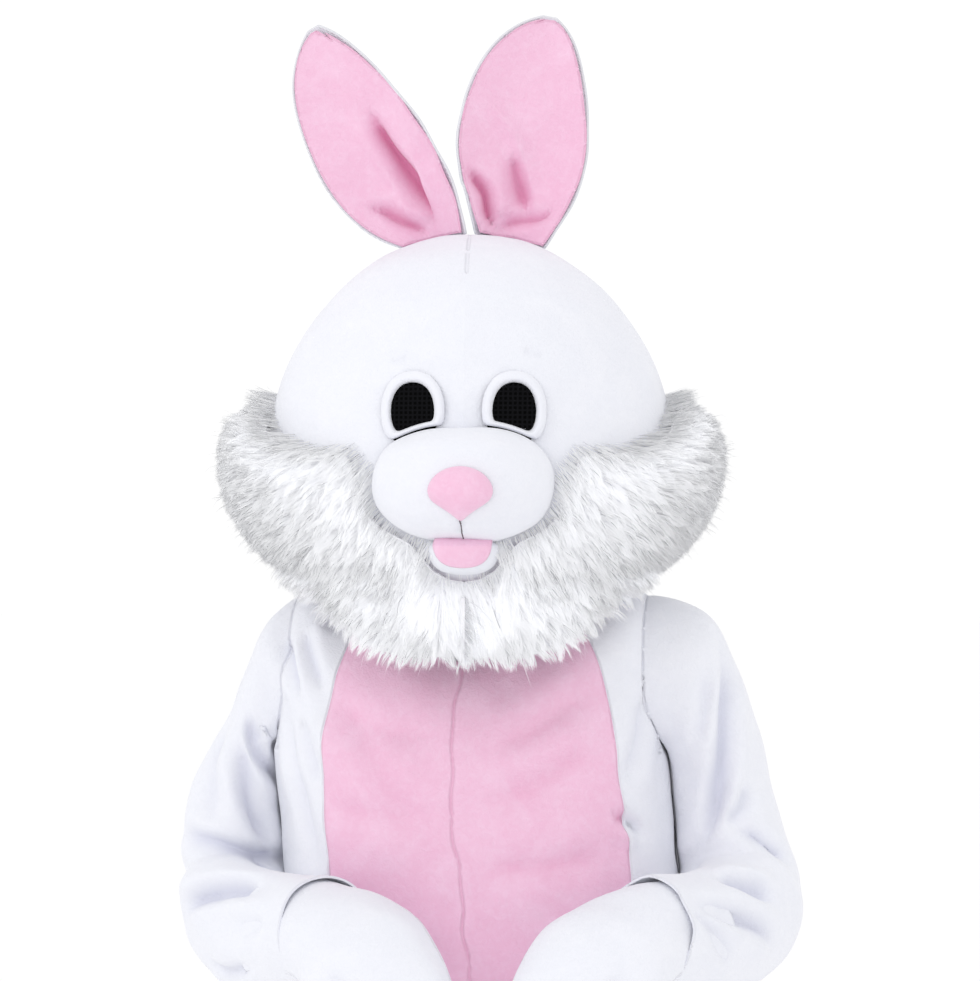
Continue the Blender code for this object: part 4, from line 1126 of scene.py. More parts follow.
RIGHT_SHOULDER_FOLDS: tuple[Crease, ...] = (
    Crease(RIGHT_SHOULDER_OUTER, 7, 10, 0.2, ON_RIGHT_SHOULDER),
    Crease(RIGHT_SHOULDER_INNER, 6, 9, 0, ON_RIGHT_SHOULDER),
)
SLEEVE_RIGHT_FOLDS: tuple[Crease, ...] = (
    *RIGHT_SHOULDER_FOLDS,
    Crease(((-240, -42, -160, 0.71, -0.51, -0.3), (-236, 20, -205, 0.85, -0.45, -0.2)), 6, 9, 0.3),
    Crease(RIGHT_UPPER_ARM_INNER, 10, 10, 0.2, ON_RIGHT_SLEEVE),
    Crease(RIGHT_UPPER_ARM_SLANT, 10, 10, -0.2, ON_RIGHT_SLEEVE),
    Crease(RIGHT_UPPER_ARM_OUTER, 6, 17, 0, ON_RIGHT_SLEEVE),
    Crease(RIGHT_ELBOW_TOP, 12, 11, 0.3, ON_RIGHT_SLEEVE),
    Crease(RIGHT_ELBOW_FRONT, 15, 11, -0.3, ON_RIGHT_SLEEVE),
    Crease(RIGHT_FOREARM_MIDDLE, 5, 12, 0, ON_RIGHT_SLEEVE),
    Crease(RIGHT_FOREARM_UNDER, 8, 10, 0.2, ON_RIGHT_SLEEVE),
    Crease(
        ((-300, 60, -120, -0.5, 0.8, 0.2), (-318, 66, -170, -0.6, 0.8, 0), (-330, 60, -225, -0.6, 0.8, 0)),
        8, 11, 0.3,
    ),
    Crease(
        ((-250, 68, -150, 0, 1, 0), (-262, 72, -200, 0, 1, 0), (-285, 70, -250, -0.2, 0.95, 0)),
        7, 11, -0.2,
    ),
    Crease(
        ((-330, 45, -290, -0.6, 0.75, 0), (-300, 60, -305, -0.2, 0.95, -0.1),
         (-262, 50, -300, 0.3, 0.9, 0.1)),
        11, 11, 0.2,
    ),
    Crease(
        ((-325, 20, -350, -0.6, 0.5, -0.5), (-290, 15, -385, -0.2, 0.5, -0.85),
         (-250, -10, -400, 0.1, 0.3, -0.9)),
        9, 11, -0.2,
    ),
)
SLEEVE_LEFT_FOLDS: tuple[Crease, ...] = (
    Crease(LEFT_UPPER_ARM_SHORT, 6, 9, 0, ON_LEFT_SLEEVE),
    Crease(LEFT_UPPER_ARM_LONG, 13, 11, -0.3, ON_LEFT_SLEEVE),
    Crease(
        ((223, -60, -283, -0.3, -0.6, 0.7), (214, -150, -289, -0.05, -0.35, 0.93),
         (190, -180, -291, 0.0, -0.45, 0.9), (167, -188, -298, -0.1, -0.5, 0.85),
         (153, -190, -305, -0.3, -0.5, 0.8)),
        8, 9, 0.2,
    ),
    Crease(LEFT_UPPER_ARM_LOW, 8, 9, 0.3, ON_LEFT_SLEEVE),
    Crease(LEFT_ELBOW_TOP, 10, 9, 0.2, ON_LEFT_SLEEVE),
    Crease(LEFT_ELBOW_FRONT, 13, 10, -0.3, ON_LEFT_SLEEVE),
    Crease(LEFT_FOREARM_OUTER, 12, 10, 0.3, ON_LEFT_SLEEVE),
    Crease(LEFT_FOREARM_UNDER, 7, 9, 0, ON_LEFT_SLEEVE),
    Crease(
        ((270, 60, -110, 0.4, 0.85, 0.2), (285, 68, -165, 0.4, 0.9, 0), (300, 66, -220, 0.5, 0.85, 0)),
        8, 11, 0.2,
    ),
    Crease(((225, 66, -150, 0, 1, 0), (238, 70, -205, 0, 1, 0), (262, 68, -250, 0.1, 1, 0)), 7, 10, -0.2),
    Crease(
        ((325, 45, -285, 0.6, 0.75, 0), (292, 62, -300, 0.1, 1, -0.1), (250, 55, -295, -0.2, 0.95, 0.1)),
        11, 11, 0.2,
    ),
    Crease(
        ((325, 10, -345, 0.6, 0.4, -0.6), (292, 5, -380, 0.2, 0.4, -0.9), (250, -20, -395, 0, 0.2, -0.97)),
        8, 11, 0,
    ),
)
TRUNK_FOLDS: tuple[Crease, ...] = (
    *RIGHT_SHOULDER_FOLDS,
    Crease(RIGHT_SHOULDER_TOP, 5, 8, 0, ON_RIGHT_SHOULDER),
    Crease(RIGHT_ARMPIT, 5, 13, 0.4, ON_RIGHT_SHOULDER),
    Crease(BELLY_LEFT_EDGE, 7, 8, 0.3, ON_LEFT_HIP),
    Crease(BELLY_LEFT_TOP, 4, 17, 0.5, ON_LEFT_BELLY),
    Crease(BELLY_LEFT_MIDDLE, 4, 19, 0.5, ON_LEFT_BELLY),
    Crease(BELLY_LEFT_LOW, 4, 18, -0.4, ON_LEFT_BELLY),
    Crease(BELLY_RIGHT_TOP, 3, 18, 0.3, ON_RIGHT_BELLY),
    Crease(BELLY_RIGHT_MIDDLE, 3, 18, 0, ON_RIGHT_BELLY),
    Crease(BELLY_RIGHT_SLANT, 3, 22, 0.4, ON_RIGHT_BELLY),
    Crease(RIGHT_SIDE, 5, 11, 0, ON_RIGHT_FRONT),
    Crease(LEFT_SIDE, 5, 13, 0.3, ON_LEFT_FRONT),
    Crease(
        ((-160, 105, -60, -0.5, 0.75, 0.4), (-120, 122, -110, -0.3, 0.9, 0.2),
         (-70, 130, -150, -0.1, 1, 0.1)),
        6, 14, 0.3,
    ),
    Crease(
        ((150, 105, -70, 0.5, 0.75, 0.4), (110, 125, -120, 0.3, 0.9, 0.2), (60, 132, -165, 0.1, 1, 0.1)),
        5, 13, -0.2,
    ),
    Crease(
        ((-185, 85, -330, -0.7, 0.7, 0), (-120, 122, -350, -0.3, 0.95, 0), (-30, 135, -340, 0, 1, 0)),
        6, 15, 0.3,
    ),
    Crease(
        ((190, 80, -350, 0.7, 0.7, 0), (130, 120, -375, 0.3, 0.95, 0), (50, 135, -365, 0.1, 1, 0)),
        6, 14, -0.3,
    ),
    Crease(
        ((-170, 100, -430, -0.6, 0.8, 0), (-90, 132, -455, -0.2, 1, 0), (20, 140, -440, 0, 1, 0)),
        5, 16, 0,
    ),
    Crease(
        ((30, -140, -600, 0.1, -1, 0), (90, -134, -660, 0.3, -0.95, 0), (165, -95, -700, 0.7, -0.7, 0)),
        8, 14, 0.3,
    ),
    Crease(
        ((-30, -140, -610, -0.1, -1, 0), (-95, -133, -665, -0.3, -0.95, 0), (-165, -95, -715, -0.7, -0.7, 0)),
        8, 14, -0.2,
    ),
    Crease(
        ((20, 142, -620, 0.1, 1, 0), (80, 138, -690, 0.3, 0.95, 0), (150, 105, -730, 0.6, 0.8, 0)),
        7, 15, 0.2,
    ),
    Crease(
        ((-20, 142, -630, -0.1, 1, 0), (-85, 138, -695, -0.3, 0.95, 0), (-150, 105, -740, -0.6, 0.8, 0)),
        7, 15, 0,
    ),
    Crease(
        ((40, -118, -930, -0.4, -0.9, 0), (105, -134, -950, 0, -1, 0), (170, -108, -935, 0.5, -0.85, 0)),
        7, 13, 0.3,
    ),
    Crease(
        ((60, -122, -985, -0.4, -0.9, 0), (115, -132, -1000, 0, -1, 0), (175, -100, -1010, 0.6, -0.8, 0)),
        6, 12, -0.2,
    ),
    Crease(
        ((-40, -118, -945, 0.4, -0.9, 0), (-105, -134, -965, 0, -1, 0), (-170, -108, -950, -0.5, -0.85, 0)),
        7, 13, 0,
    ),
    Crease(
        ((-65, -122, -1010, 0.4, -0.9, 0), (-115, -130, -1030, 0, -1, 0), (-170, -100, -1025, -0.6, -0.8, 0)),
        6, 12, 0.3,
    ),
    Crease(
        ((45, 118, -960, -0.4, 0.9, 0), (110, 132, -975, 0, 1, 0), (170, 105, -960, 0.6, 0.8, 0)),
        7, 13, 0,
    ),
    Crease(
        ((-45, 118, -950, 0.4, 0.9, 0), (-110, 132, -970, 0, 1, 0), (-170, 105, -955, -0.6, 0.8, 0)),
        7, 13, 0.2,
    ),
    Crease(
        ((50, -100, -1230, -0.4, -0.9, 0), (110, -122, -1250, 0, -1, 0), (168, -90, -1240, 0.6, -0.8, 0)),
        7, 12, 0,
    ),
    Crease(
        ((-50, -100, -1240, 0.4, -0.9, 0), (-110, -122, -1262, 0, -1, 0), (-168, -90, -1250, -0.6, -0.8, 0)),
        7, 12, 0.2,
    ),
    Crease(
        ((60, -98, -1290, -0.3, -0.95, 0), (115, -112, -1300, 0.1, -1, 0), (165, -82, -1306, 0.6, -0.8, 0)),
        6, 11, -0.2,
    ),
    Crease(
        ((-60, -98, -1296, 0.3, -0.95, 0), (-115, -112, -1310, -0.1, -1, 0),
         (-165, -82, -1300, -0.6, -0.8, 0)),
        6, 11, 0.2,
    ),
    Crease(
        ((50, 100, -1240, -0.4, 0.9, 0), (110, 120, -1262, 0, 1, 0), (165, 90, -1250, 0.6, 0.8, 0)),
        7, 12, 0,
    ),
    Crease(
        ((-50, 100, -1235, 0.4, 0.9, 0), (-110, 120, -1255, 0, 1, 0), (-165, 90, -1245, -0.6, 0.8, 0)),
        7, 12, 0,
    ),
)
MITTS_FOLDS: tuple[Crease, ...] = (
    Crease(
        ((-128, -300, -372, -0.5, -0.8, 0.3), (-100, -316, -386, -0.2, -0.95, 0.2),
         (-72, -312, -392, 0.2, -0.9, 0.3)),
        5, 9, 0.2,
    ),
    Crease(
        ((-100, -318, -430, -0.3, -0.95, 0), (-72, -320, -436, 0, -1, 0), (-48, -312, -430, 0.3, -0.95, 0)),
        4, 8, 0,
    ),
    Crease(
        ((-88, -314, -470, -0.3, -0.95, -0.1), (-66, -316, -476, 0, -1, -0.1),
         (-45, -308, -470, 0.3, -0.95, -0.1)),
        3, 8, 0.2,
    ),
    Crease(
        ((186, -300, -370, 0.5, -0.8, 0.3), (158, -316, -384, 0.2, -0.95, 0.2),
         (130, -312, -390, -0.2, -0.9, 0.3)),
        5, 9, -0.2,
    ),
    Crease(
        ((160, -318, -432, 0.3, -0.95, 0), (132, -320, -438, 0, -1, 0), (108, -312, -432, -0.3, -0.95, 0)),
        4, 8, 0,
    ),
)
EAR_RIGHT_FOLDS: tuple[Crease, ...] = (
    Crease(RIGHT_EAR_GULLY, 14, 9, 0.4, ON_RIGHT_EAR),
    Crease(RIGHT_EAR_RIDGE, -6, 8, 0, ON_RIGHT_EAR),
    Crease(RIGHT_EAR_TUCK, 10, 7, -0.3, ON_RIGHT_EAR),
)
EAR_LEFT_FOLDS: tuple[Crease, ...] = (
    Crease(LEFT_EAR_GULLY, 14, 8, 0.2, ON_LEFT_EAR),
    Crease(LEFT_EAR_RIDGE, -7, 10, 0, ON_LEFT_EAR),
    Crease(LEFT_EAR_SHADE, 10, 10, 0.5, ON_LEFT_EAR),
    Crease(LEFT_EAR_TUCK, 8, 7, 0, ON_LEFT_EAR),
)
HEAD_FOLDS: tuple[Crease, ...] = (
    Crease(RIGHT_EYE_DIMPLE, 3, 9, 0, ON_RIGHT_BROW),
    Crease(LEFT_EYE_DIMPLE, 3, 9, 0, ON_LEFT_BROW),
)


# Pieces


@dataclass(frozen=True)
class Cut:
    """A flat piece as the maker cuts it: width and length in metres, and its area in square metres."""

    width: float
    length: float
    area: float
    held: str = "draped"

    def declare(self, obj: bpy.types.Object, pieces: Sequence[bpy.types.Object] = ()) -> None:
        """Takes an object as a sheet of this cut and does nothing with it."""


@dataclass
class Suit:
    """The plush jumpsuit with its belly panel and sleeves."""

    wall: float = 0.0022
    levels: int = 3
    seam_depth: float = 0.0010
    unevenness: float = 0.0016
    swell_length: float = 0.085
    sewn_reach: float = 0.009
    sleeve_strength: float = 1.3
    sleeve_rounds: int = 3
    trunk_strength: float = 1.35
    placket_half: float = 0.030
    placket_front: float = -0.05
    placket_end: float = -0.56
    placket_waves: tuple[tuple[float, float, float], ...] = ((0.0022, 58.0, 0.0), (0.0013, 131.0, 1.0))
    cuts: dict[str, Cut] = field(default_factory=lambda: {
        "front": Cut(0.40, 1.40, 0.36),
        "back": Cut(0.44, 1.42, 0.44),
        "belly": Cut(0.17, 0.62, 0.076),
        "sleeve": Cut(0.46, 0.62, 0.215),
    })

    def build(self) -> None:
        """Builds, folds, sews and dresses every piece of the suit."""
        trunk = []
        for side in SIDES:
            trunk.append(Cloth.panel(f"front_{side}", LEG_CORE[side], self.levels))
            trunk.append(Cloth.panel(f"back_{side}", LEG_CORE[side], self.levels))
            trunk.append(Cloth.panel(f"belly_{side}", TRUNK_CORE, self.levels))
        sleeves = {side: Cloth.panel(f"sleeve_{side}", SLEEVE_CORE[side], self.levels) for side in SIDES}
        weld(trunk + list(sleeves.values()))
        for side in SIDES:
            for cloth in trunk:
                if cloth.name.endswith(side) and not cloth.name.startswith("belly"):
                    press_together(cloth, sleeves[side])
        for cloth in trunk:
            fold(cloth, TRUNK_FOLDS, self.trunk_strength)
            self.wave_placket(cloth)
        for side, cloth in sleeves.items():
            creases = SLEEVE_RIGHT_FOLDS if side == "right" else SLEEVE_LEFT_FOLDS
            fold(cloth, creases, self.sleeve_strength)
            cloth.relax(self.sleeve_rounds)
        for cloth in trunk + list(sleeves.values()):
            soften(cloth, self.unevenness, self.swell_length)
            cloth.sew_edges(self.seam_depth)
        weld(trunk + list(sleeves.values()), self.sewn_reach)
        for cloth in trunk + list(sleeves.values()):
            kind = cloth.name.split("_")[0]
            finish, slot = (Finish.PINK, "pink_plush") if kind == "belly" else (Finish.WHITE, "white_plush")
            self.cuts[kind].declare(cloth.make(finish, self.wall, slot))

    def wave_placket(self, cloth: Cloth) -> None:
        """Lets the belly's centre seam wander a little from side to side, as a hidden fastening does.

        Args:
            cloth: a piece of the trunk, whose points are moved.
        """
        x, y, z = cloth.points.T
        near = np.exp(-((x / self.placket_half) ** 2)) * (y < self.placket_front) * (z > self.placket_end)
        sway = sum(most * np.sin(z * turns + start) for most, turns, start in self.placket_waves)
        cloth.points[:, 0] += sway * near


@dataclass
class Mitts:
    """The pair of plush mitts."""

    wall: float = 0.0022
    levels: int = 3
    least_facing: float = 0.05
    unevenness: float = 0.0010
    swell_length: float = 0.05
    seed: int = 3
    seam_depth: float = 0.0011
    sewn_reach: float = 0.005
    cut: Cut = Cut(0.24, 0.34, 0.056)

    def build(self) -> None:
        """Builds, folds and sews the back and palm of each mitt."""
        for side in SIDES:
            parts = [
                Cloth.panel(f"mitt_{part}_{side}", MITT_CORE[side], self.levels, least=self.least_facing)
                for part in ("back", "palm")
            ]
            weld(parts)
            for cloth in parts:
                fold(cloth, MITTS_FOLDS)
                soften(cloth, self.unevenness, self.swell_length, self.seed)
                cloth.sew_edges(self.seam_depth)
            weld(parts, self.sewn_reach)
            for cloth in parts:
                self.cut.declare(cloth.make(Finish.WHITE, self.wall, "white_plush"))


@dataclass
class Head:
    """The padded head: two halves sewn over the crown."""

    wall: float = 0.0028
    levels: int = 3
    rim_wall: float = 0.004
    rounds: int = 14
    unevenness: float = 0.0010
    swell_length: float = 0.09
    seed: int = 5
    plain_below: float = 0.335
    seam_depth: float = 0.0008
    sewn_reach: float = 0.005
    cut: Cut = Cut(0.50, 0.66, 0.24, "stretched")

    def build(self) -> None:
        """Builds both halves and sews them together."""
        halves = [Cloth.panel(f"head_{side}", HEAD_CORE, self.levels, self.rim_wall) for side in SIDES]
        weld(halves)
        for cloth in halves:
            cloth.relax(self.rounds)
            fold(cloth, HEAD_FOLDS)
            soften(cloth, self.unevenness, self.swell_length, self.seed)
            cloth.plain_below = self.plain_below
            cloth.sew_edges(self.seam_depth)
        weld(halves, self.sewn_reach)
        for cloth in halves:
            self.cut.declare(cloth.make(Finish.WHITE, self.wall, "white_plush"))


@dataclass
class Face:
    """The muzzle, nose, mouth and eyes."""

    wall: float = 0.002
    seam_radius: float = 0.0007
    patch_depth: float = -0.88
    pad_depth: float = -0.45
    eye_lift: float = 0.0132
    eye_wall: float = 0.001
    eye_flat: tuple[float, float] = (0.062, 0.078)
    eye_area: float = 0.0038
    tongue_rise: float = 1.75
    tongue_flare: float = 0.10
    tongue_tuck: float = 0.020
    tongue_tuck_from: float = 0.60
    tongue_lean: float = 0.0030
    lip_rise: float = 1.22
    lip_lean: float = 0.004
    nose_fullness: float = 0.50
    nose_full_at: float = 0.74
    nose_full_over: float = 0.17

    def build(self) -> None:
        """Builds every pad of the face and the seam below the nose."""
        self.muzzle()
        for node, finish, slot, levels in (
            ("nose", Finish.PINK, "pink_plush", 3), ("jaw", Finish.WHITE, "white_plush", 3),
            ("tongue", Finish.PINK, "pink_plush", 3), ("eye_patch_right", Finish.WHITE, "white_plush", 2),
            ("eye_patch_left", Finish.WHITE, "white_plush", 2),
        ):
            depth = self.patch_depth if node.startswith("eye") else self.pad_depth
            cloth = Cloth.pad(node, HEAD_CORE, levels, depth)
            shape = {"nose": self.round_nose, "jaw": self.lift_lip, "tongue": self.lift_tongue}.get(node)
            if shape:
                shape(cloth)
            cloth.make(finish, self.wall, slot)
        for side in SIDES:
            cloth = Cloth.pad(f"eye_mesh_{side}", HEAD_CORE, 2)
            cloth.points[:, 1] -= self.eye_lift
            made = cloth.make(Finish.BLACK, self.eye_wall, "black_mesh")

    def lift_tongue(self, cloth: Cloth) -> None:
        """Carries the tongue up over the lip's far edge and in under the muzzle.

        Args:
            cloth: the tongue, whose points are moved.
        """
        low, high = cloth.points[:, 2].min(), cloth.points[:, 2].max()
        share = (cloth.points[:, 2] - low) / (high - low)
        middle = (cloth.points[:, 0].min() + cloth.points[:, 0].max()) / 2
        cloth.points[:, 2] = low + (high - low) * share * self.tongue_rise
        cloth.points[:, 0] = middle + (cloth.points[:, 0] - middle) * (1.0 + self.tongue_flare * share)
        past = np.clip(share - self.tongue_tuck_from, 0.0, 1.0) / (1 - self.tongue_tuck_from)
        cloth.points[:, 1] += self.tongue_tuck * past - self.tongue_lean * share

    def lift_lip(self, cloth: Cloth) -> None:
        """Carries the lip's ends up to the muzzle.

        Args:
            cloth: the lip, whose points are moved.
        """
        low, high = cloth.points[:, 2].min(), cloth.points[:, 2].max()
        share = (cloth.points[:, 2] - low) / (high - low)
        cloth.points[:, 2] = low + (high - low) * share * self.lip_rise
        cloth.points[:, 1] += self.lip_lean * share

    def round_nose(self, cloth: Cloth) -> None:
        """Fills the nose out below its middle, to a rounded triangle.

        Args:
            cloth: the nose, whose points are moved.
        """
        low, high = cloth.points[:, 2].min(), cloth.points[:, 2].max()
        fallen = (high - cloth.points[:, 2]) / (high - low)
        middle = (cloth.points[:, 0].min() + cloth.points[:, 0].max()) / 2
        lobe = np.exp(-(((fallen - self.nose_full_at) / self.nose_full_over) ** 2))
        fuller = 1.0 + self.nose_fullness * lobe
        cloth.points[:, 0] = middle + (cloth.points[:, 0] - middle) * fuller

    def muzzle(self) -> None:
        """Builds the muzzle with its two cheeks and the short seam below the nose."""
        cloth = Cloth.pad("muzzle", HEAD_CORE, 3)
        seam = Crease(
            ((13, -300, 78, 0, -0.9, -0.4), (11, -296, 70, 0, -0.7, -0.7), (8, -275, 61, 0, -0.5, -0.85)),
            5.0, 5.0,
        )
        fold(cloth, (seam,))
        # Halves the painted shade in the seam's crease
        cloth.painted_shade *= 0.5
        soften(cloth, 0.0012, 0.06, 11)
        tree = BVHTree.FromPolygons(cloth.points.tolist(), cloth.faces.tolist())
        places = []
        for step in range(13):
            share = step / 12
            start = Vector((0.013, -0.420, 0.096 - 0.040 * share))
            hit = tree.ray_cast(start, Vector((-0.02, 1.0, 0.0)))
            if hit[0] is not None:
                places.append(hit[0] + Vector((0.0, -0.0002, 0.0)))
        cloth.make(Finish.WHITE, self.wall, "white_plush")
        if len(places) > 2:
            trim(join_rings("muzzle_seam", places, self.seam_radius, False), Finish.DARK_THREAD)


@dataclass
class Ears:
    """The pair of ears: a pink front and a white back, folded together at the foot."""

    wall: float = 0.0018
    piping: float = 0.0019
    front_cut: Cut = Cut(0.17, 0.27, 0.033, "stretched")
    back_cut: Cut = Cut(0.18, 0.28, 0.036, "stretched")

    def build(self) -> None:
        """Builds and folds each ear, and runs piping round its edge."""
        for side in SIDES:
            creases = EAR_RIGHT_FOLDS if side == "right" else EAR_LEFT_FOLDS
            front = Cloth.panel(f"ear_front_{side}", Facing((0.0, -1.0, 0.0)), 3)
            back = Cloth.panel(f"ear_back_{side}", Facing((0.0, 1.0, 0.0)), 3)
            for cloth in (front, back):
                fold(cloth, creases)
                soften(cloth, 0.0012, 0.06, 17)
            # The white back gets no painted fold shade
            back.painted_shade[:] = 0.0
            white = back.make(Finish.WHITE, self.wall, "white_plush")
            self.back_cut.declare(white)
            self.front_cut.declare(front.make(Finish.PINK, self.wall, "pink_plush"))
            piping = join_rings(f"ear_piping_{side}", edge_loop(back), self.piping, True)
            trim(piping, Finish.THREAD)


@dataclass
class FurRuff:
    """The long-pile ruff: a backing and strands that flow out over the cheeks and down over the chest."""

    strands: int = 25000
    parts: int = 3
    segments: int = 3
    width: float = 0.00058
    longest: float = 0.085
    shortest: float = 0.020
    backing_share: float = 0.34
    edge_share: float = 0.94
    least_depth: float = 0.004
    most_depth: float = 0.06
    taper: float = 0.035
    strands_a_lock: int = 26
    strays: float = 0.012
    collar_tries: int = 90000
    collar_most: int = 16000
    collar_reach: float = 0.014
    collar_spread: float = 0.022
    collar_spread_below: float = 0.150
    collar_spread_over: float = 0.04
    collar_lengths: tuple[float, float] = (0.020, 0.038)
    stray_lengths: tuple[float, float] = (0.004, 0.018)
    wander: float = 0.16
    own_wander: float = 0.35
    lighting_turn: float = 0.35
    lock_draw: float = 0.45
    seed: int = 31
    collar_seed: int = 41
    turn: float = math.radians(6.0)
    middle: Place = (-0.016, -0.030, 0.0)
    bib_from: float = 0.55
    bib_over: float = 0.4
    cheek_height: float = 0.120
    low_over: float = 0.130
    rise_over: float = 0.080
    cheek_fall: float = 0.42
    low_fall: float = 0.60
    rise_lift: float = 0.75
    cheek_out: float = 0.38
    low_out: float = 0.12
    cheek_side: float = 0.62
    bib_out: float = 0.20
    bib_side: float = 0.24
    low_side: float = 0.16
    off_cloth: float = 0.22
    to_axis: float = 0.7
    to_inside: float = 0.3
    width_turn: float = 0.45
    fur_bow: float = 0.10
    fur_bow_up: float = 0.06
    fur_bow_spread: float = 0.025
    fur_lengths: tuple[float, float] = (0.80, 1.06)
    lock_lengths: float = 0.06
    lock_hold: tuple[float, float] = (0.6, 1.0)
    own_shade: float = 0.6
    lock_shade: float = 0.4
    collar_fade: tuple[float, float] = (0.55, 1.0)
    collar_stand: float = 0.55
    collar_wander: float = 0.13
    collar_bow: float = 0.12
    collar_bow_spread: float = 0.02

    def build(self) -> None:
        """Builds the backing and the fur of each side."""
        for number, side in enumerate(SIDES):
            tree = solid_tree(f"ruff_{side}")
            backing = self.backing(side, tree)
            self.fur(side, backing, tree, self.seed + number)
            self.collar(side, tree, self.collar_seed + number)

    def backing(self, side: str, tree: BVHTree) -> Cloth:
        """The plush backing, part of the way out from the head to the fur's tips.

        Args:
            side: right or left.
            tree: the CAD ruff of that side, for finding its depth.

        Returns:
            The backing's cloth.
        """
        cloth = Cloth.panel(f"ruff_{side}", RUFF_CORE, 2, 0.003)
        normals = cloth.normals()
        near_edge = np.clip(1 - cloth.from_edge() / self.taper, 0, 1)
        shares = self.backing_share + (self.edge_share - self.backing_share) * near_edge
        for index, (place, normal, share) in enumerate(zip(cloth.points, normals, shares)):
            start = Vector(place)
            flat = RUFF_CORE.away(start)
            inwards = (-flat * self.to_axis - Vector(normal) * self.to_inside).normalized()
            hit = tree.ray_cast(start + inwards * 0.002, inwards)
            depth = hit[3] if hit[0] is not None else self.least_depth
            cloth.points[index] = start + inwards * min(depth, self.most_depth) * share
        made = cloth.make(Finish.BACKING, 0.002, "white_fur")
        return cloth

    def flow(self, roots: np.ndarray, out: np.ndarray) -> np.ndarray:
        """The way that the pile lies at each root.

        Args:
            roots: places on the backing.
            out: the outward direction at each.

        Returns:
            Unit directions.
        """
        flat = roots - np.array(self.middle)
        flat[:, 2] = 0.0
        reach = flat / np.maximum(np.linalg.norm(flat, axis=1, keepdims=True), 1e-6)
        ahead = np.array((math.sin(self.turn), -math.cos(self.turn), 0.0))
        front = np.clip((reach @ ahead - self.bib_from) / self.bib_over, 0.0, 1.0)
        low = np.clip((self.cheek_height - roots[:, 2]) / self.low_over, 0.0, 1.0)
        across = np.array((math.cos(self.turn), math.sin(self.turn), 0.0))
        side = np.sign(reach[:, 0] + 0.02)[:, None] * across
        down = np.array((0.0, 0.0, -1.0))
        rise = np.clip((roots[:, 2] - self.cheek_height) / self.rise_over, 0.0, 1.0)
        fall = (self.cheek_fall + self.low_fall * low - self.rise_lift * rise)[:, None]
        cheek = reach * (self.cheek_out - self.low_out * low)[:, None] + down * fall + side * self.cheek_side
        bib = reach * self.bib_out + down * 1.0 + side * (self.bib_side + self.low_side * low)[:, None]
        lie = cheek * (1 - front)[:, None] + bib * front[:, None] + out * self.off_cloth
        return lie / np.linalg.norm(lie, axis=1, keepdims=True)

    def roots(self, cloth: Cloth, count: int, chosen: np.random.Generator) -> tuple[np.ndarray, np.ndarray]:
        """Places spread evenly over a cloth.

        Args:
            cloth: the backing, or the head's skin.
            count: how many.
            chosen: the random numbers.

        Returns:
            The places, and the outward direction at each.
        """
        corner = cloth.points[cloth.faces]
        halves = np.concatenate([corner[:, [0, 1, 2]], corner[:, [0, 2, 3]]])
        across = np.cross(halves[:, 1] - halves[:, 0], halves[:, 2] - halves[:, 0])
        size = np.linalg.norm(across, axis=1)
        picks = chosen.choice(len(halves), count, p=size / size.sum())
        first, second = chosen.random(count), chosen.random(count)
        over = first + second > 1
        first[over], second[over] = 1 - first[over], 1 - second[over]
        base = halves[picks]
        places = base[:, 0] + first[:, None] * (base[:, 1] - base[:, 0])
        places = places + second[:, None] * (base[:, 2] - base[:, 0])
        return places, across[picks] / np.maximum(size[picks], 1e-12)[:, None]

    def collar(self, side: str, tree: BVHTree, seed: int) -> None:
        """Grows the fur that hides the ruff's upper edge, from the skin of the head just above it.

        Args:
            side: right or left.
            tree: the CAD ruff of that side.
            seed: picks the strands.
        """
        chosen = np.random.default_rng(seed)
        skin = Cloth.panel(f"head_{side}", HEAD_CORE, 1, 0.004)
        places, out = self.roots(skin, self.collar_tries, chosen)
        hides = [solid_tree(node) for node in ("muzzle", "jaw")]
        kept = []
        for index, (place, away) in enumerate(zip(places, out)):
            start, way = Vector(place + away * 0.002), Vector(away)
            gap = tree.find_nearest(start, 0.04)[3]
            low = min(max((self.collar_spread_below - place[2]) / self.collar_spread_over, 0.0), 1.0)
            reach = self.collar_reach + self.collar_spread * low
            if gap is None or gap > reach * chosen.uniform(*self.collar_fade):
                continue
            if tree.ray_cast(start, way, 0.08)[0] is not None:
                continue
            if any(hide.ray_cast(start, way, 0.12)[0] is not None for hide in hides):
                continue
            kept.append(index)
        kept = np.array(kept[: self.collar_most])
        roots, out = places[kept], out[kept]
        count = len(kept)
        stray = chosen.normal(scale=self.collar_wander, size=(count, 3))
        lie = self.flow(roots, out) + out * self.collar_stand + stray
        lie /= np.linalg.norm(lie, axis=1, keepdims=True)
        length = chosen.uniform(*self.collar_lengths, count)
        tips = roots + lie * length[:, None]
        spread = chosen.normal(scale=self.collar_bow_spread, size=(count, 3))
        bow = (out * self.collar_bow + spread) * length[:, None]
        across = np.cross(tips - roots, out + chosen.normal(scale=self.width_turn, size=(count, 3)))
        across /= np.maximum(np.linalg.norm(across, axis=1, keepdims=True), 1e-9)
        LOG.info("collar %s: %d strands", side, count)
        self.join(f"ruff_collar_{side}", roots, tips, bow, across, chosen.random(count), out)

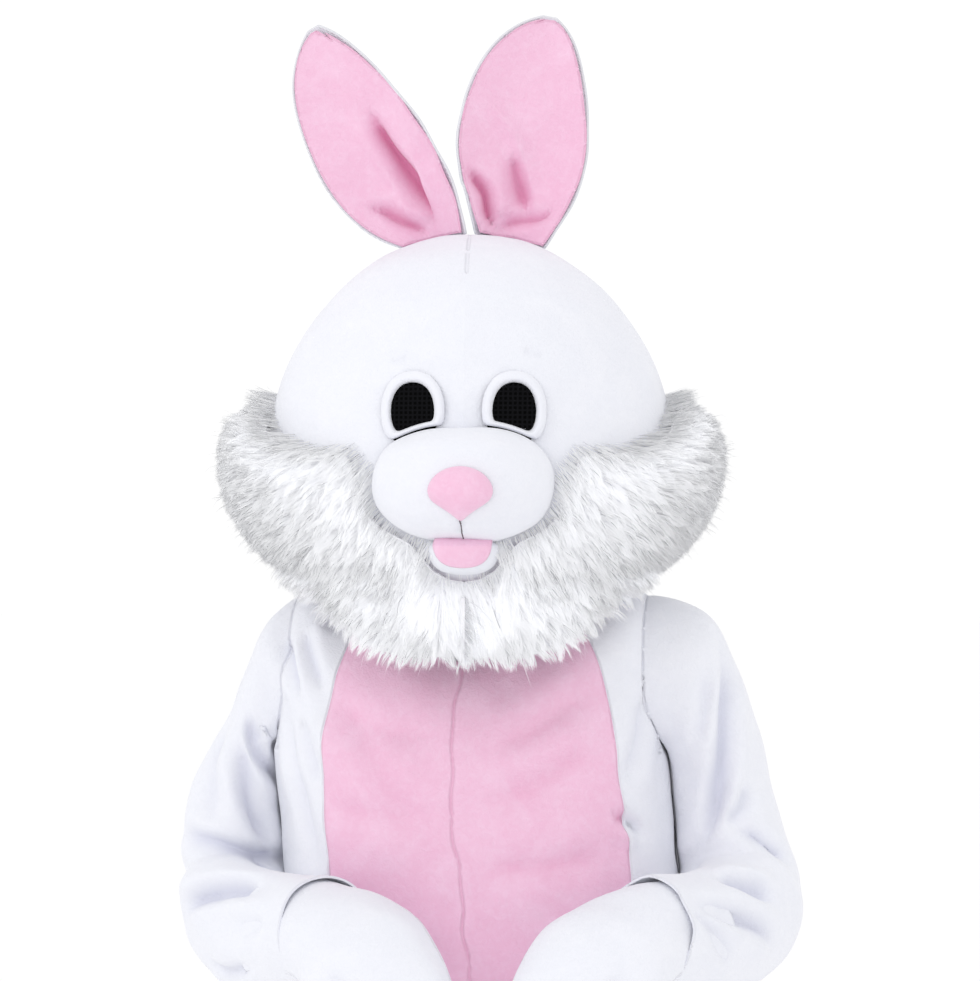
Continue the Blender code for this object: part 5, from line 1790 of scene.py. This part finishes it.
    def fur(self, side: str, cloth: Cloth, tree: BVHTree, seed: int) -> None:
        """Grows the strands of one side and joins them into a few pieces.

        Args:
            side: right or left.
            cloth: the backing that they grow from.
            tree: the CAD ruff of that side, which their tips reach.
            seed: picks the strands.
        """
        chosen = np.random.default_rng(seed)
        count = self.strands * self.parts
        roots, out = self.roots(cloth, count, chosen)
        lie = self.flow(roots, out)
        locks = chosen.choice(count, count // self.strands_a_lock, replace=False)
        finder = KDTree(len(locks))
        for key, index in enumerate(locks):
            finder.insert(roots[index], key)
        finder.balance()
        own = np.array([locks[finder.find(root)[1]] for root in roots])
        wander = chosen.normal(scale=self.wander, size=(count, 3))
        lie = lie + wander[own] + self.own_wander * chosen.normal(scale=self.wander, size=(count, 3))
        lie /= np.linalg.norm(lie, axis=1, keepdims=True)
        length = np.empty(count)
        for index in range(count):
            start = Vector(roots[index] + out[index] * 0.001)
            hit = tree.ray_cast(start, Vector(lie[index]))
            length[index] = hit[3] if hit[0] is not None else self.shortest
        length = np.clip(length, self.shortest, self.longest)
        own_length = chosen.uniform(*self.fur_lengths, count)
        length *= own_length * (1 + chosen.normal(scale=self.lock_lengths, size=count)[own])
        stray = chosen.random(count) < self.strays
        length[stray] += chosen.uniform(*self.stray_lengths, stray.sum())
        tips = roots + lie * length[:, None]
        draw = self.lock_draw * chosen.uniform(*self.lock_hold, count) * ~stray
        tips += (tips[own] - tips) * draw[:, None]
        spread = chosen.normal(scale=self.fur_bow_spread, size=(count, 3))
        bow = out * self.fur_bow + np.array((0.0, 0.0, self.fur_bow_up)) + spread
        bow *= length[:, None]
        facing = out + chosen.normal(scale=self.width_turn, size=(count, 3))
        across = np.cross(tips - roots, facing)
        across /= np.maximum(np.linalg.norm(across, axis=1, keepdims=True), 1e-9)
        shade = chosen.random(count) * self.own_shade + self.lock_shade * chosen.random(count)[own]
        order = np.argsort(roots[:, 1])
        for part in range(self.parts):
            picked = order[part * self.strands : (part + 1) * self.strands]
            strands = [values[picked] for values in (roots, tips, bow, across, shade, out)]
            self.join(f"ruff_fur_{side}_{part + 1}", *strands)

    def join(
        self, name: str, roots: np.ndarray, tips: np.ndarray, bow: np.ndarray, across: np.ndarray,
        shade: np.ndarray, out: np.ndarray,
    ) -> None:
        """Joins strands into one piece.

        Args:
            name: the piece's name.
            roots: where each strand starts.
            tips: where each ends.
            bow: how far its middle stands off the straight line.
            across: the direction of its width.
            shade: a number from 0 to 1 for each, for its colour.
            out: the outward direction, which the soft pile is lit by.
        """
        count = len(roots)
        rings = []
        shares = np.linspace(0.0, 1.0, self.segments + 1)
        for share in shares[:-1]:
            middle = roots + (tips - roots) * share + bow * (4 * share * (1 - share))
            half = across * (self.width * 0.5 * (1 - share) ** 0.6)
            rings.extend((middle - half, middle + half))
        rings.append(tips)
        points = np.stack(rings, axis=1).reshape(-1, 3)
        stride = len(rings)
        base = np.arange(count)[:, None] * stride
        faces = []
        for step in range(self.segments - 1):
            corner = 2 * step
            faces.append(base + np.array((corner, corner + 1, corner + 3)))
            faces.append(base + np.array((corner, corner + 3, corner + 2)))
        corner = 2 * (self.segments - 1)
        faces.append(base + np.array((corner, corner + 1, corner + 2)))
        faces = np.concatenate(faces)
        data = bpy.data.meshes.new(name)
        data.vertices.add(len(points))
        data.vertices.foreach_set("co", points.ravel())
        data.loops.add(faces.size)
        data.loops.foreach_set("vertex_index", faces.ravel().astype(np.int32))
        data.polygons.add(len(faces))
        data.polygons.foreach_set("loop_start", np.arange(0, faces.size, 3, dtype=np.int32))
        data.update(calc_edges=True)
        along = np.repeat(shares[:-1], 2)
        along = np.append(along, 1.0)
        uv = np.stack([shade[faces // stride], along[faces % stride]], axis=-1)
        layer = data.uv_layers.new(name="strand")
        layer.data.foreach_set("uv", uv.reshape(-1).astype(np.float32))
        data.shade_smooth()
        lit = out + self.lighting_turn * across
        lit /= np.linalg.norm(lit, axis=1, keepdims=True)
        data.normals_split_custom_set_from_vertices(np.repeat(lit, stride, axis=0))
        obj = bpy.data.objects.new(name, data)
        bpy.context.collection.objects.link(obj)
        trim(obj, Finish.FUR)


@dataclass
class Studio:
    """The camera, the lights and the paper."""

    floor: float = -1.352
    paper_half: float = 30.0
    sky: float = 1.03
    far_clip: float = 60.0

    def build(self) -> None:
        """Sets up the whole studio."""
        self.camera()
        self.lights()
        self.paper()
        world = bpy.data.worlds.new("studio")
        world.use_nodes = True
        sky = world.node_tree.nodes["Background"]
        sky.inputs["Color"].default_value = (1.0, 1.0, 1.0, 1.0)
        sky.inputs["Strength"].default_value = self.sky
        bpy.context.scene.world = world
        bpy.context.scene.view_settings.view_transform = "Standard"
        bpy.context.scene.view_settings.look = "None"

    def camera(self) -> None:
        """Puts the camera level with the head, a little to the wearer's left."""
        data = bpy.data.cameras.new("camera")
        data.sensor_fit = "HORIZONTAL"
        data.angle = 2 * math.atan(VIEW.span / 2 / VIEW.distance)
        data.clip_end = self.far_clip
        camera = bpy.data.objects.new("camera", data)
        bpy.context.collection.objects.link(camera)
        camera.location = VIEW.eye()
        camera.rotation_euler = (-VIEW.away()).to_track_quat("-Z", "Y").to_euler()
        bpy.context.scene.camera = camera

    def lamp(self, name: str, place: Place, size: float, power: float, aim: Place) -> None:
        """Adds one soft box.

        Args:
            name: the light's name.
            place: where it stands.
            size: its side, in metres.
            power: its power, in watts.
            aim: the place that it faces.
        """
        data = bpy.data.lights.new(name, "AREA")
        data.size = size
        data.energy = power
        lamp = bpy.data.objects.new(name, data)
        bpy.context.collection.objects.link(lamp)
        lamp.location = place
        lamp.rotation_euler = (Vector(aim) - Vector(place)).to_track_quat("-Z", "Y").to_euler()

    def lights(self) -> None:
        """Lights the costume softly from the front, on both sides."""
        self.lamp("key", (-1.9, -2.4, 1.5), 1.1, 11.0, (0.0, 0.0, -0.1))
        self.lamp("fill", (1.0, -3.3, 0.1), 2.0, 3.0, (0.0, 0.0, -0.05))

    def paper(self) -> None:
        """Lays pale paper under the costume."""
        mesh = bmesh.new()
        bmesh.ops.create_grid(mesh, x_segments=1, y_segments=1, size=self.paper_half)
        bmesh.ops.translate(mesh, verts=mesh.verts, vec=(0.0, 0.0, self.floor))
        data = bpy.data.meshes.new("paper")
        mesh.to_mesh(data)
        mesh.free()
        paper = bpy.data.objects.new("paper", data)
        bpy.context.collection.objects.link(paper)
        dress(paper, Finish.PAPER)


def main() -> None:
    """Builds the dressed costume piece by piece."""
    logging.basicConfig(level=logging.INFO, format="%(message)s")
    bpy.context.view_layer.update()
    for part in (Studio(), Suit(), Mitts(), Head(), Face(), Ears(), FurRuff()):
        part.build()
        LOG.info("built %s", type(part).__name__)


if __name__ == "__main__":
    main()
